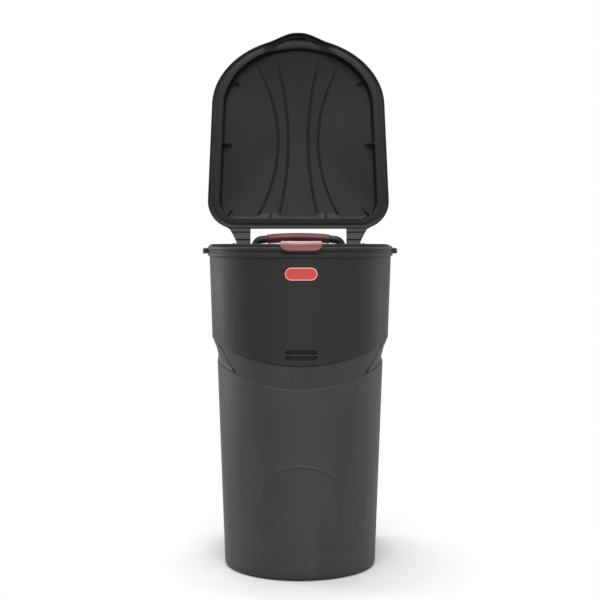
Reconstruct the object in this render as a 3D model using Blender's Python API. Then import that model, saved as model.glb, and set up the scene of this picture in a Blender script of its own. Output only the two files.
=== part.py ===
"""Wheeled trash can with a hinged lid, standing open. Metres, +Z up, front towards -Y."""

import math

import bmesh
import bpy
from mathutils import Matrix, Vector

# Plan of the can: half width at the middle, reach to the front and to the rear
UPPER_HALF = 0.2845
UPPER_FRONT = 0.3165
UPPER_REAR = 0.300
SHOULDER_HALF = 0.2769
SHOULDER_FRONT = 0.302
SHOULDER_REAR = 0.294
LOWER_TOP_HALF = 0.2607
LOWER_TOP_FRONT = 0.286
LOWER_TOP_REAR = 0.284
BASE_HALF = 0.2383
BASE_FRONT = 0.257
BASE_REAR = 0.262
CORNER = 0.090
ARCH_DEPTH = 0.225
SIDE_TAPER_SHARE = 0.037

# Heights of the can
RIM_TOP = 1.003
LIP_HEIGHT = 0.019
LEDGE_HEIGHT = 0.010
UNDER_LEDGE = 0.008
LEDGE_TOP = RIM_TOP - LIP_HEIGHT
LEDGE_LOW = LEDGE_TOP - LEDGE_HEIGHT
UPPER_TOP = LEDGE_LOW - UNDER_LEDGE
LOWER_TOP_Z = 0.644
SHOULDER_HEIGHT = 0.078
SHOULDER_Z = LOWER_TOP_Z + SHOULDER_HEIGHT
SHOULDER_DIP = 0.068
BASE_EDGE = 0.014
FLOOR = 0.006

# Sections of the can: rise and tuck of the base edge, rise and swell of the shoulder, and its bend
BASE_SHARES = ((0, 0.8), (0.3, 0.25))
CAVITY_SHARE = 0.5
SWELL_SHARES = ((0.12, 0.02), (0.5, 0.34), (0.88, 0.86))
BEND_SHARE = 0.04
BEND_DIP_SHARE = 0.98
UNDER_LEDGE_SHARE = 0.75
CUT_REACH_SHARE = 0.7

# Walls and the rim's section
WALL = 0.004
LEDGE_OUT = 0.006
LIP_OUT = 0.0048
GROOVE_OUT = 0.0025
RIM_ROUND = 0.0025

# Clearances
GAP = 0.0003
SEAT = 0.0008
OVERRUN = 0.02

# Side grips of the rim
SIDE_GRIP_OUT = 0.016
SIDE_GRIP_LENGTH = 0.110
SIDE_GRIP_DROP = 0.008
SIDE_GRIP_TOP = RIM_TOP - SIDE_GRIP_DROP
SIDE_GRIP_DEPTH = 0.016
SIDE_GRIP_WALL = 0.004

# Hand recess in each side and slot in the front
RECESS_DEPTH = 0.006
RECESS_SILL = 0.004
RECESS_HEIGHT = 0.058
RECESS_LOW = LOWER_TOP_Z + RECESS_SILL
RECESS_HIGH = RECESS_LOW + RECESS_HEIGHT
RECESS_FRONT_HIGH = -0.138
RECESS_FRONT_LOW = -0.180
RECESS_BACK = 0.120
SLOT_WIDTH = 0.093
SLOT_HEIGHT = 0.028
SLOT_DROP = 0.038
SLOT_Z = SHOULDER_Z - SLOT_DROP
SLOT_DEPTH = 0.008
SLOT_BAR = 0.007

# Raised arch low on the front wall
FOOT_ARCH_HALF = 0.1245
FOOT_ARCH_TOP = 0.341
FOOT_ARCH_LOW = 0.185
FOOT_ARCH_BAND = 0.010
FOOT_ARCH_RISE = 0.0016

# Lid, modelled closed
LID_OVER_SIDE = 0.0235
LID_OVER_FRONT = 0.0285
LID_OVER_REAR = 0.035
LID_HALF = UPPER_HALF + LID_OVER_SIDE
LID_FRONT = UPPER_FRONT + LID_OVER_FRONT
LID_REAR = UPPER_REAR + LID_OVER_REAR
LID_CORNER = 0.100
LID_ARCH = 0.237
LID_WALL = 0.0035
SKIRT_DEPTH = 0.0075
FLANGE_SIDE = 0.043
FLANGE_FRONT = 0.027
FLANGE_REAR = 0.038
DOME_RISE = 0.040
DOME_SLOPE = 0.020
CROWN_RISE = 0.018
HOOD_REACH = 0.019
HOOD_RISE = 0.0225
HOOD_FLAT = 0.036
HOOD_HALF = 0.110
HOOD_TOP_FLAT = 0.068
BAND_RISE = 0.0041
GUSSET_THICK = 0.004
GUSSET_LENGTH = 0.030

# Sections of the lid: hood at the skirt and its round, then rise, slope and hood of the dome, and the crown
SKIRT_HOOD_SHARES = (0.35, 0.95, 0.9)
SKIRT_SHARE = 0.3
EDGE_ROUND_SHARES = (0.6, 0.3)
FLANGE_FLAT_SHARE = 0.93
DOME_SHARES = ((0.75, 0.45, 0.1), (0.94, 0.7, 0))
CROWN_SHARES = (0.86, 0.66, 0.44, 0.22)
ROOT_SHARE = 0.8

# Hourglass bands: waist along the lid, inner line, width, flare, and spread before and behind the waist
WAIST_SHARE = 0.42
BAND_INNER_SHARE = 0.135
BAND_WIDTH_SHARE = 0.115
BAND_FLARE_SHARE = 0.10
BAND_SPREAD_SHARES = (0.72, 0.50)
BAND_END_SHARE = 1.6
BAND_ROOT_SHARES = (0.12, 1.4, 0.6)

# Gussets: places across and along the dome's foot, and the way each faces in degrees
GUSSET_FRONT_SHARES = ((0.875, 0.70, 35.0), (0.99, 0.08, 0.0))
GUSSET_REAR_SHARES = ((0.93, 0.88, -50.0), (0.36, 0.99, -90.0))

# Hinge
HINGE_BACK = 0.065
HINGE_DROP = 0.013
HINGE_Y = LID_REAR + HINGE_BACK
HINGE_Z = RIM_TOP - HINGE_DROP
LID_OPEN_DEG = 97.0
PIN_R = 0.0045
PIN_HEAD_R = 0.0075
PIN_HEAD = 0.003
CLIP_R = 0.008
CLIP_THICK = 0.002
CLIP_EDGE_SHARE = 0.9
KNUCKLE_R = 0.011
ARM_INSET = 0.092
ARM_WIDTH = 0.0485
ARM_OUT = LID_HALF - ARM_INSET
ARM_IN = ARM_OUT - ARM_WIDTH
ARM_THICK = 0.010
ARM_GROOVE = 0.0015
ARM_GROOVE_WIDTH = 0.004
ARM_GROOVE_SHARES = (0.2, 0.62)
ARM_FLARE_SHARES = ((0, -0.28), (0.10, -0.57), (0.175, -0.78), (0.275, -1), (0.53, -1.21))
ARM_ROOT_SHARE = 0.62
LUG_GAP = 0.0025
LUG_THICK = 0.012
LUG_R = 0.013
LUG_DROP = 0.090
TOE_DROP = 0.028
STOP_DROP = 0.016
STOP_TOP = HINGE_Z - STOP_DROP
STOP_THICK = 0.019

# Rear handle
BAR_LIFT = 0.0325
BAR_Z = HINGE_Z + BAR_LIFT
BAR_SAG = 0.010
BAR_R = 0.0135
LEG_GAP = 0.0175
LEG_X = ARM_IN - LEG_GAP
LEG_BEND = 0.030
CORNER_BEND = 0.024
FOOT_DROP = 0.070
FOOT_Z = HINGE_Z - FOOT_DROP
FOOT_HALF_HEIGHT = 0.036
FOOT_HALF_WIDTH = 0.018
FOOT_THICK = 0.008
PAD_OUT = 0.012
PAD_Y = UPPER_REAR + PAD_OUT
BOSS_R = 0.012
BOSS_HALF = 0.0155
SCREW_SPREAD = 0.0245
SCREW_HEAD_R = 0.005
SCREW_HEAD = 0.003
SCREW_R = 0.0022
SCREW_LENGTH = 0.016
SCREW_CROWN_SHARES = (0.6, 0.4)
GRIP_R = 0.0165
GRIP_HALF = 0.108

# Front grip
FRONT_GRIP_HALF = 0.061
FRONT_GRIP_RISE = 0.0192
FRONT_GRIP_LAP = 0.0105
FRONT_GRIP_TOP = RIM_TOP + FRONT_GRIP_RISE
FRONT_GRIP_LOW = RIM_TOP - FRONT_GRIP_LAP
FRONT_GRIP_PROUD = 0.0105
FRONT_GRIP_BACK = 0.0105
FRONT_GRIP_WALL = 0.004
FRONT_GRIP_FIT = 0.0010

# Section of the front grip: reach, height and width at its lower front, its top front, its top and its back
GRIP_LOW_SHARES = ((0.75, 0, 0.66), (1, 0.45, 0.88))
GRIP_TOP_SHARES = ((0.95, 0.35, 1), (0.55, 0.85, 0.985))
GRIP_CROWN_SHARES = ((0.5, 1, 0.97), (0.82, 0.85, 0.985), (1, 0.4, 1))
GRIP_BACK_SHARE = 0.9

# Plate on the front wall
PLATE_HALF_WIDTH = 0.0485
PLATE_HALF_HEIGHT = 0.0195
PLATE_DROP = 0.078
PLATE_Z = RIM_TOP - PLATE_DROP
PLATE_THICK = 0.0025
PLATE_END_SHARE = 0.12
PLATE_SECTION_SHARES = ((1, -1), (1.2, -0.8), (1.2, 0.8), (1, 1))

# Wheels and axle
WHEEL_R = 0.100
WHEEL_WIDTH = 0.042
WHEEL_INSET = 0.0023
WHEEL_OUT = BASE_HALF - WHEEL_INSET
TYRE_THICK = 0.012
HUB_R = 0.020
WEB = 0.008
RIM_WALL = 0.006
SPOKE_HOLE_R = 0.015
SPOKE_HOLES = 6
SPOKE_RING_SHARE = 0.52
HUB_TAPER_SHARE = 0.9
TREAD_SHARES = (0.12, 0.4)
SIDEWALL_SHARES = (0.45, 0.985)
AXLE_R = 0.006
AXLE_INSET = 0.027
AXLE_Y = BASE_REAR - AXLE_INSET
AXLE_END = 0.0035
WELL_ROOM = 0.018
WELL_GAP = 0.0045
STEP_LIFT = 0.028
STEP_RUN = 0.080
STEP_Z = WHEEL_R + STEP_LIFT
STEP_Y = AXLE_Y - STEP_RUN
HANGER_THICK = 0.012
HANGER_INNER_X = 0.055
HANGER_R = 0.017
WASHER_R = 0.013
NUT_R = 0.011
NUT_THICK = 0.003
NUT_SHARES = (0.4, 1.4)
CAP_R = 0.019
CAP_DEPTH = 0.009
CAP_WALL = 0.002
CAP_SHARES = ((0.4, 0.6), (1.6, 0.93))
CAP_HOLLOW_SHARES = (2, 1.7)

# Counts
REAR_STEPS = 3
CORNER_STEPS = 6
SIDE_STEPS = 5
ARCH_STEPS = 11
ROUND_STEPS = 16
WHEEL_STEPS = 36
BAR_SIDES = 12
GRIP_SIDES = 16
PIN_STEPS = 20
HOLE_STEPS = 12
BAND_STATIONS = 8
GRIP_STATIONS = 9
PLATE_COLUMNS = 12


def clear_scene():
    for obj in list(bpy.data.objects):
        bpy.data.objects.remove(obj, do_unlink=True)


def material(name, colour, roughness, metallic=0):
    """A plain Principled material with the piece's colour."""
    made = bpy.data.materials.new(name)
    made.use_nodes = True
    shader = made.node_tree.nodes["Principled BSDF"]
    shader.inputs["Base Color"].default_value = (*colour, 1)
    shader.inputs["Roughness"].default_value = roughness
    shader.inputs["Metallic"].default_value = metallic
    return made


def add_object(name, points, faces):
    mesh = bpy.data.meshes.new(name)
    mesh.from_pydata([tuple(p) for p in points], [], faces)
    shell = bmesh.new()
    shell.from_mesh(mesh)
    bmesh.ops.triangulate(shell, faces=shell.faces)
    bmesh.ops.recalc_face_normals(shell, faces=shell.faces)
    shell.to_mesh(mesh)
    shell.free()
    obj = bpy.data.objects.new(name, mesh)
    bpy.context.scene.collection.objects.link(obj)
    return obj


def loft(name, rings, tip=None):
    """Rings of equal count joined by quads, with flat ends, or a fan to a tip on the last."""
    count = len(rings[0])
    points = [p for ring in rings for p in ring]
    faces = [list(range(count))[::-1]]
    for level in range(len(rings) - 1):
        for i in range(count):
            j = (i + 1) % count
            low = level * count
            faces.append([low + i, low + j, low + count + j, low + count + i])
    last = (len(rings) - 1) * count
    if tip is None:
        faces.append([last + i for i in range(count)])
    else:
        points.append(tip)
        faces += [[last + i, last + (i + 1) % count, len(points) - 1] for i in range(count)]
    return add_object(name, points, faces)


def combine(target, other, operation):
    """Applies a Boolean of target with other, then removes other."""
    step = target.modifiers.new("step", "BOOLEAN")
    step.operation = operation
    step.solver = "EXACT"
    step.object = other
    bpy.context.view_layer.update()
    graph = bpy.context.evaluated_depsgraph_get()
    made = bpy.data.meshes.new_from_object(target.evaluated_get(graph))
    target.modifiers.clear()
    target.data = made
    bpy.data.objects.remove(other, do_unlink=True)


def prism(name, outline, low, high, axis):
    """An outline of 2D points drawn out along axis X, Y or Z from low to high."""
    place = {
        "X": lambda u, v, w: (w, u, v),
        "Y": lambda u, v, w: (u, w, v),
        "Z": lambda u, v, w: (u, v, w),
    }[axis]
    return loft(name, [[place(u, v, w) for u, v in outline] for w in (low, high)])


def box(name, low, high):
    outline = [(low[0], low[1]), (high[0], low[1]), (high[0], high[1]), (low[0], high[1])]
    return prism(name, outline, low[2], high[2], "Z")


def circle(centre, radius, steps, start=0.0, turn=360.0):
    """Points round a circle, or along an arc of it with both ends."""
    whole = turn == 360.0
    angles = [math.radians(start + turn * i / (steps if whole else steps - 1)) for i in range(steps)]
    return [(centre[0] + radius * math.cos(a), centre[1] + radius * math.sin(a)) for a in angles]


def rod(name, radius, low, high, y, z, steps=ROUND_STEPS):
    """A round bar along X."""
    return prism(name, circle((y, z), radius, steps), low, high, "X")


def turned(name, profile, y, z, side, steps):
    """A ring section of (distance along X, radius) points, turned about an axis along X."""
    points = []
    for i in range(steps):
        angle = 2 * math.pi * i / steps - math.pi / 2
        for x, r in profile:
            points.append((side * x, y + r * math.cos(angle), z + r * math.sin(angle)))
    count = len(profile)
    faces = []
    for i in range(steps):
        j = (i + 1) % steps
        for k in range(count):
            m = (k + 1) % count
            faces.append([i * count + k, j * count + k, j * count + m, i * count + m])
    return add_object(name, points, faces)


def turned_cup(name, profile, y, z, side, steps):
    """A section whose first and last points lie on the axis, turned about it."""
    points = [(side * profile[0][0], y, z), (side * profile[-1][0], y, z)]
    inner = profile[1:-1]
    count = len(inner)
    for i in range(steps):
        angle = 2 * math.pi * i / steps
        for x, r in inner:
            points.append((side * x, y + r * math.cos(angle), z + r * math.sin(angle)))
    faces = []
    for i in range(steps):
        a = 2 + i * count
        b = 2 + ((i + 1) % steps) * count
        faces.append([0, a, b])
        faces.append([1, b + count - 1, a + count - 1])
        faces += [[a + k, a + k + 1, b + k + 1, b + k] for k in range(count - 1)]
    return add_object(name, points, faces)


def finish(obj, look, angle_deg=35.0):
    obj.data.materials.clear()
    obj.data.materials.append(look)
    obj.data.shade_smooth()
    obj.data.set_sharp_from_angle(angle=math.radians(angle_deg))
    return obj


def plan(half, front, rear, corner, arch):
    """D-shaped outline: straight rear, round corners, tapering sides and an arched front."""
    right = [((half - corner) * i / REAR_STEPS, rear) for i in range(REAR_STEPS)]
    right += circle((half - corner, rear - corner), corner, CORNER_STEPS + 1, 90.0, -90.0)
    side_end = arch - front
    side_start = rear - corner
    right += [(half, side_start + (side_end - side_start) * i / SIDE_STEPS) for i in range(1, SIDE_STEPS)]
    for i in range(ARCH_STEPS + 1):
        angle = math.pi / 2 * i / ARCH_STEPS
        right.append((half * math.cos(angle), side_end - arch * math.sin(angle)))
    right = [(x * (1 + SIDE_TAPER_SHARE * y / half), y) for x, y in right]
    return right + [(-x, y) for x, y in right[-2:0:-1]]


def can_ring(height, half, front, rear, grow, dip_share=0.0):
    """One section of the can's wall. The front dips by a share of the shoulder's dip."""
    arch = ARCH_DEPTH + grow
    ring = []
    for x, y in plan(half + grow, front + grow, rear + grow, CORNER + grow, arch):
        lift = min((x / half) ** 2, 1) if y < arch - front else 1
        ring.append((x, y, height - SHOULDER_DIP * dip_share * (1 - lift)))
    return ring


def between(low, high, share):
    return low + (high - low) * share


def can_wall(grow):
    """Sections of the outer wall from the base edge to just under the rim, grown or shrunk."""
    base = (BASE_HALF, BASE_FRONT, BASE_REAR)
    lower = (LOWER_TOP_HALF, LOWER_TOP_FRONT, LOWER_TOP_REAR)
    shoulder = (SHOULDER_HALF, SHOULDER_FRONT, SHOULDER_REAR)
    upper = (UPPER_HALF, UPPER_FRONT, UPPER_REAR)
    band = SHOULDER_Z - LOWER_TOP_Z
    rings = [can_ring(BASE_EDGE, *base, grow)]
    rings.append(can_ring(LOWER_TOP_Z, *lower, grow, 1))
    for rise, swell in SWELL_SHARES:
        size = [between(a, b, swell) for a, b in zip(lower, shoulder)]
        rings.append(can_ring(LOWER_TOP_Z + band * rise, *size, grow, 1))
    rings.append(can_ring(SHOULDER_Z, *shoulder, grow, 1))
    rings.append(can_ring(between(SHOULDER_Z, UPPER_TOP, BEND_SHARE), *shoulder, grow, BEND_DIP_SHARE))
    rings.append(can_ring(UPPER_TOP, *upper, grow))
    return rings


def can_outer():
    base = (BASE_HALF, BASE_FRONT, BASE_REAR)
    upper = (UPPER_HALF, UPPER_FRONT, UPPER_REAR)
    rings = [can_ring(BASE_EDGE * rise, *base, -BASE_EDGE * tuck) for rise, tuck in BASE_SHARES]
    rings += can_wall(0)
    rim = [(between(UPPER_TOP, LEDGE_LOW, UNDER_LEDGE_SHARE), 0), (LEDGE_LOW, LEDGE_OUT)]
    rim.append((LEDGE_TOP, LEDGE_OUT))
    rim += [(LEDGE_TOP + RIM_ROUND, GROOVE_OUT), (LEDGE_TOP + RIM_ROUND * 3, GROOVE_OUT)]
    rim += [(LEDGE_TOP + RIM_ROUND * 4, LIP_OUT), (RIM_TOP - RIM_ROUND, LIP_OUT)]
    rim += [(RIM_TOP, LIP_OUT - RIM_ROUND)]
    rings += [can_ring(height, *upper, out) for height, out in rim]
    return loft("can_body", rings)


def can_cavity():
    base = (BASE_HALF, BASE_FRONT, BASE_REAR)
    upper = (UPPER_HALF, UPPER_FRONT, UPPER_REAR)
    tuck = BASE_EDGE * CAVITY_SHARE
    rings = [can_ring(FLOOR, *base, -WALL - tuck)]
    walls = can_wall(-WALL)
    walls[0] = can_ring(FLOOR + tuck, *base, -WALL)
    rings += walls + [can_ring(RIM_TOP + OVERRUN, *upper, -WALL)]
    return loft("cavity", rings)


def pressed(outer, cavity, name, outline, low, high, axis, depth, grown_outline):
    """Presses a pocket into the wall to a depth that follows the wall, and keeps the wall behind it."""
    for body, shape, shrink in ((outer, outline, depth), (cavity, grown_outline, depth + WALL)):
        pocket = prism(name, shape, low, high, axis)
        combine(pocket, loft(name + "_core", can_wall(-shrink)), "DIFFERENCE")
        combine(body, pocket, "DIFFERENCE")


def press_side_recesses(outer, cavity):
    def side_view(grow):
        return [
            (RECESS_FRONT_LOW - grow, RECESS_LOW - grow),
            (RECESS_BACK + grow, RECESS_LOW - grow),
            (RECESS_BACK + grow, RECESS_HIGH + grow),
            (RECESS_FRONT_HIGH - grow, RECESS_HIGH + grow),
        ]

    for side in (-1, 1):
        ends = sorted((side * BASE_HALF * CUT_REACH_SHARE, side * (UPPER_HALF + OVERRUN)))
        pressed(outer, cavity, "recess", side_view(0), *ends, "X", RECESS_DEPTH, side_view(WALL))


def rounded_slot(half_width, half_height, z):
    ends = circle((half_width - half_height, z), half_height, 7, -90.0, 180.0)
    return ends + [(-x, y) for x, y in ends[::-1]]


def press_front_slot(outer, cavity):
    half_width = SLOT_WIDTH / 2
    half_height = SLOT_HEIGHT / 2
    reach = (-UPPER_FRONT - OVERRUN, -BASE_FRONT * CUT_REACH_SHARE)
    small = rounded_slot(half_width, half_height, SLOT_Z)
    large = rounded_slot(half_width + WALL, half_height + WALL, SLOT_Z)
    pressed(outer, cavity, "slot", small, *reach, "Y", SLOT_DEPTH, large)
    bar = [(x, SLOT_Z + z * SLOT_BAR / 2) for x, z in ((-1, -1), (1, -1), (1, 1), (-1, 1))]
    bar = [(x * (half_width + GAP), z) for x, z in bar]
    strip = prism("slot_bar", bar, *reach, "Y")
    combine(strip, loft("slot_skin", can_wall(-SLOT_BAR / 2)), "INTERSECT")
    combine(outer, strip, "UNION")


def add_foot_arch(outer):
    """A faint raised band that follows the front wall in the shape of an arch."""
    def arch_line(half, top):
        radius = half
        crown = circle((0, top - radius), radius, 13, 180.0, -180.0)
        return [(-half, FOOT_ARCH_LOW)] + crown + [(half, FOOT_ARCH_LOW)]

    inner = arch_line(FOOT_ARCH_HALF - FOOT_ARCH_BAND, FOOT_ARCH_TOP - FOOT_ARCH_BAND)
    outline = arch_line(FOOT_ARCH_HALF, FOOT_ARCH_TOP) + inner[::-1]
    band = prism("foot_arch", outline, -UPPER_FRONT - OVERRUN, -BASE_FRONT * CUT_REACH_SHARE, "Y")
    combine(band, loft("foot_arch_skin", can_wall(FOOT_ARCH_RISE)), "INTERSECT")
    combine(outer, band, "UNION")


def add_side_grips(outer):
    out = UPPER_HALF + LIP_OUT + SIDE_GRIP_OUT
    half = SIDE_GRIP_LENGTH / 2
    low = SIDE_GRIP_TOP - SIDE_GRIP_DEPTH
    for side in (-1, 1):
        edge = out - SIDE_GRIP_WALL
        chamfer = [(out - SIDE_GRIP_OUT * 2, -half), (edge, -half), (out, SIDE_GRIP_WALL - half)]
        outline = [(side * x, y) for x, y in chamfer + [(x, -y) for x, y in chamfer[::-1]]]
        grip = prism("side_grip", outline, low, SIDE_GRIP_TOP, "Z")
        inner = (out - SIDE_GRIP_OUT * 2, half - SIDE_GRIP_WALL)
        xs = sorted((side * inner[0], side * edge))
        hollow_top = SIDE_GRIP_TOP - SIDE_GRIP_WALL
        hollow = box("hollow", (xs[0], -inner[1], low - OVERRUN), (xs[1], inner[1], hollow_top))
        combine(grip, hollow, "DIFFERENCE")
        combine(outer, grip, "UNION")


def lug_side_view():
    """Side view of an outer hinge lug: from the wall back to a round end about the hinge axis."""
    root = UPPER_REAR - CORNER
    end = circle((HINGE_Y, HINGE_Z), LUG_R, 11, -60.0, 270.0)
    return [(root, HINGE_Z - LUG_DROP)] + end + [(root, UPPER_TOP)]


def add_hinge_mounts(outer):
    inner = ARM_OUT + LUG_GAP
    root = UPPER_REAR - CORNER
    stop_face = HINGE_Y - KNUCKLE_R - GAP
    for side in (-1, 1):
        lug = prism("lug", lug_side_view(), *sorted((side * inner, side * (inner + LUG_THICK))), "X")
        combine(outer, lug, "UNION")
        stop = [(root, STOP_TOP - STOP_THICK), (stop_face, STOP_TOP - STOP_THICK)]
        stop += [(stop_face, STOP_TOP), (root, STOP_TOP)]
        block_ends = sorted((side * (ARM_IN + LUG_GAP), side * (inner + LUG_THICK / 2)))
        combine(outer, prism("stop", stop, *block_ends, "X"), "UNION")
        low_x, high_x = sorted((side * (LEG_X - FOOT_HALF_WIDTH), side * (LEG_X + FOOT_HALF_WIDTH)))
        low = (low_x, root, FOOT_Z - FOOT_HALF_HEIGHT)
        combine(outer, box("pad", low, (high_x, PAD_Y, FOOT_Z + FOOT_HALF_HEIGHT)), "UNION")


def hanger_places():
    """Low and high X of each axle hanger."""
    outer_face = WHEEL_OUT - WHEEL_WIDTH - WELL_GAP
    places = []
    for side in (-1, 1):
        places.append(sorted((side * (outer_face - HANGER_THICK), side * outer_face)))
        places.append(sorted((side * HANGER_INNER_X, side * (HANGER_INNER_X + HANGER_THICK))))
    return places


def cut_wheel_room(outer, cavity):
    """Raises the base behind for the axle, and opens a well for each wheel."""
    inner_face = WHEEL_OUT - WHEEL_WIDTH - WELL_GAP - WALL / 2
    for body, wall in ((outer, 0), (cavity, WALL)):
        radius = WHEEL_R + WELL_ROOM + wall
        far = BASE_HALF + OVERRUN * 2
        rear = LOWER_TOP_REAR + OVERRUN
        floor = FLOOR if body is cavity else 0
        low = (-far, STEP_Y - wall, floor - OVERRUN)
        combine(body, box("step", low, (far, rear + OVERRUN, STEP_Z + wall)), "DIFFERENCE")
        for side in (-1, 1):
            ends = sorted((side * (inner_face - wall), side * far))
            well = rod("well", radius, *ends, AXLE_Y, WHEEL_R, WHEEL_STEPS)
            combine(body, well, "DIFFERENCE")


def hanger_side_view():
    """A plate that widens upwards from a round end about the axle."""
    end = circle((AXLE_Y, WHEEL_R), HANGER_R, 9, 180.0, 180.0)
    top = STEP_Z + WALL / 2
    return end + [(AXLE_Y + HANGER_R, top), (AXLE_Y - HANGER_R, top)]


def add_hangers(body):
    for low, high in hanger_places():
        combine(body, prism("hanger", hanger_side_view(), low, high, "X"), "UNION")
    reach = WHEEL_OUT
    combine(body, rod("axle_hole", AXLE_R + GAP, -reach, reach, AXLE_Y, WHEEL_R), "DIFFERENCE")


def screw_places():
    return [(side * LEG_X, FOOT_Z + up * SCREW_SPREAD) for side in (-1, 1) for up in (-1, 1)]


def cut_mount_holes(body):
    reach = ARM_OUT + LUG_THICK * 2
    for side in (-1, 1):
        ends = sorted((side * ARM_OUT, side * reach))
        combine(body, rod("pin_hole", PIN_R + GAP, *ends, HINGE_Y, HINGE_Z), "DIFFERENCE")
    for x, z in screw_places():
        depth = SCREW_LENGTH - FOOT_THICK
        hole = prism("hole", circle((x, z), SCREW_R + GAP, HOLE_STEPS), PAD_Y - depth, PAD_Y + OVERRUN, "Y")
        combine(body, hole, "DIFFERENCE")


def can_body(look):
    outer = can_outer()
    cavity = can_cavity()
    press_side_recesses(outer, cavity)
    press_front_slot(outer, cavity)
    add_foot_arch(outer)
    add_side_grips(outer)
    add_hinge_mounts(outer)
    cut_wheel_room(outer, cavity)
    combine(outer, cavity, "DIFFERENCE")
    add_hangers(outer)
    cut_mount_holes(outer)
    return finish(outer, look)


def hood_shares(x, y):
    """How far the hood reaches forward and rises at a point of the lid, as shares."""
    if y > LID_ARCH - LID_FRONT:
        return 0, 0
    shares = []
    for flat in (HOOD_FLAT, HOOD_TOP_FLAT):
        t = min(max((HOOD_HALF - abs(x)) / (HOOD_HALF - flat), 0), 1)
        shares.append(t * t * (3 - 2 * t))
    return shares


def lid_ring(height, grow, inset_share, hood_share):
    """One section of the lid: inset_share runs from its edge, 0, to the dome's foot, 1."""
    half = LID_HALF + grow - FLANGE_SIDE * inset_share
    front = LID_FRONT + grow - FLANGE_FRONT * inset_share
    rear = LID_REAR + grow - FLANGE_REAR * inset_share
    arch = LID_ARCH + grow - FLANGE_FRONT * inset_share
    corner = LID_CORNER + grow - FLANGE_REAR * inset_share
    ring = []
    for x, y in plan(half, front, rear, corner, arch):
        reach, rise = hood_shares(x, y)
        lift = HOOD_RISE * rise * hood_share
        ring.append((x, y - HOOD_REACH * reach * (1 - inset_share), height + lift))
    return ring


def crown_height(share):
    """Height of the crown over the dome's shoulder, from 1 at its edge to 0 at the centre."""
    return CROWN_RISE * (1 - share**2)


def lid_shell(name, grow, lowest):
    """A solid of the lid's outer form, or with a negative grow of the room inside it."""
    seat = RIM_TOP + SEAT
    flange = seat + (LID_WALL if grow == 0 else 0)
    dome = flange + DOME_RISE
    edge_round = LID_WALL * EDGE_ROUND_SHARES[0] + grow * EDGE_ROUND_SHARES[1]
    low_hood, edge_hood, foot_hood = SKIRT_HOOD_SHARES
    rings = [lid_ring(lowest, grow, 0, 0)]
    rings.append(lid_ring(between(seat, seat - SKIRT_DEPTH, SKIRT_SHARE), grow, 0, low_hood))
    rings.append(lid_ring(flange - edge_round, grow, 0, edge_hood))
    rings.append(lid_ring(flange, grow - edge_round, 0, 1))
    rings.append(lid_ring(flange + edge_round / 2, grow, FLANGE_FLAT_SHARE, 1))
    rings.append(lid_ring(flange + edge_round * 2, grow, 1, foot_hood))
    for rise, slope, hood in DOME_SHARES:
        rings.append(lid_ring(between(flange, dome, rise), grow - DOME_SLOPE * slope, 1, hood))
    edge = lid_ring(dome, grow - DOME_SLOPE, 1, 0)
    rings.append(edge)
    centre_y = sum(y for _, y, _ in edge) / len(edge)
    for share in CROWN_SHARES:
        height = crown_height(share)
        rings.append([(x * share, between(centre_y, y, share), z + height) for x, y, z in edge])
    return loft(name, rings, (0, centre_y, dome + crown_height(0)))


def band_line(y, offset):
    """Half distance of an hourglass line from the lid's middle, at a place along the lid."""
    away = (y - between(-LID_FRONT, LID_REAR, WAIST_SHARE)) / (LID_FRONT + LID_REAR)
    spread = BAND_SPREAD_SHARES[0 if away < 0 else 1]
    width = BAND_WIDTH_SHARE + BAND_FLARE_SHARE * abs(away)
    return LID_HALF * (BAND_INNER_SHARE + offset * width + spread * away**2)


def add_bands(shell, name, drop):
    """Two raised bands of the dome in the shape of an hourglass."""
    top = RIM_TOP + SEAT + LID_WALL + DOME_RISE
    edge_share, rise_share, inset_share = BAND_ROOT_SHARES
    low_y = FLANGE_FRONT + DOME_SLOPE * BAND_END_SHARE - LID_FRONT + drop
    high_y = LID_REAR - FLANGE_REAR - DOME_SLOPE * BAND_END_SHARE - drop
    for side in (-1, 1):
        rings = []
        for i in range(BAND_STATIONS):
            y = between(low_y, high_y, i / (BAND_STATIONS - 1))
            share = abs(2 * i / (BAND_STATIONS - 1) - 1)
            rise = crown_height(between(share, 1, edge_share)) + BAND_RISE * rise_share - drop
            inner = side * (band_line(y, 0) + drop * inset_share)
            outer = side * (band_line(y, 1) - drop * inset_share)
            low = top - BAND_RISE * 2
            high = top + rise
            rings.append([(inner, y, low), (outer, y, low), (outer, y, high), (inner, y, high)])
        combine(shell, loft(name, rings), "UNION")


def gusset_places():
    """Foot and direction of each gusset in the lid, as places on the dome's foot."""
    half = LID_HALF - FLANGE_SIDE
    front = FLANGE_FRONT - LID_FRONT
    rear = LID_REAR - FLANGE_REAR
    places = [(half * across, front * along, angle) for across, along, angle in GUSSET_FRONT_SHARES]
    places += [(half * across, rear * along, angle) for across, along, angle in GUSSET_REAR_SHARES]
    mirrored = [(-x, y, 180.0 - angle) for x, y, angle in places]
    return mirrored + places


def add_gussets(lid):
    seat = RIM_TOP + SEAT + LID_WALL
    for x, y, angle in gusset_places():
        inward = angle + 180.0
        profile = [(GUSSET_LENGTH, seat + DOME_RISE), (-LID_WALL, seat + DOME_RISE)]
        profile.append((-LID_WALL, seat - LID_WALL / 2))
        plate = prism("gusset", profile, -GUSSET_THICK / 2, GUSSET_THICK / 2, "Y")
        plate.data.transform(Matrix.Translation((x, y, 0)) @ Matrix.Rotation(math.radians(inward), 4, "Z"))
        room = lid_shell("gusset_room", -LID_WALL / 2, RIM_TOP + SEAT - SKIRT_DEPTH)
        combine(plate, room, "INTERSECT")
        combine(lid, plate, "UNION")


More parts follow.
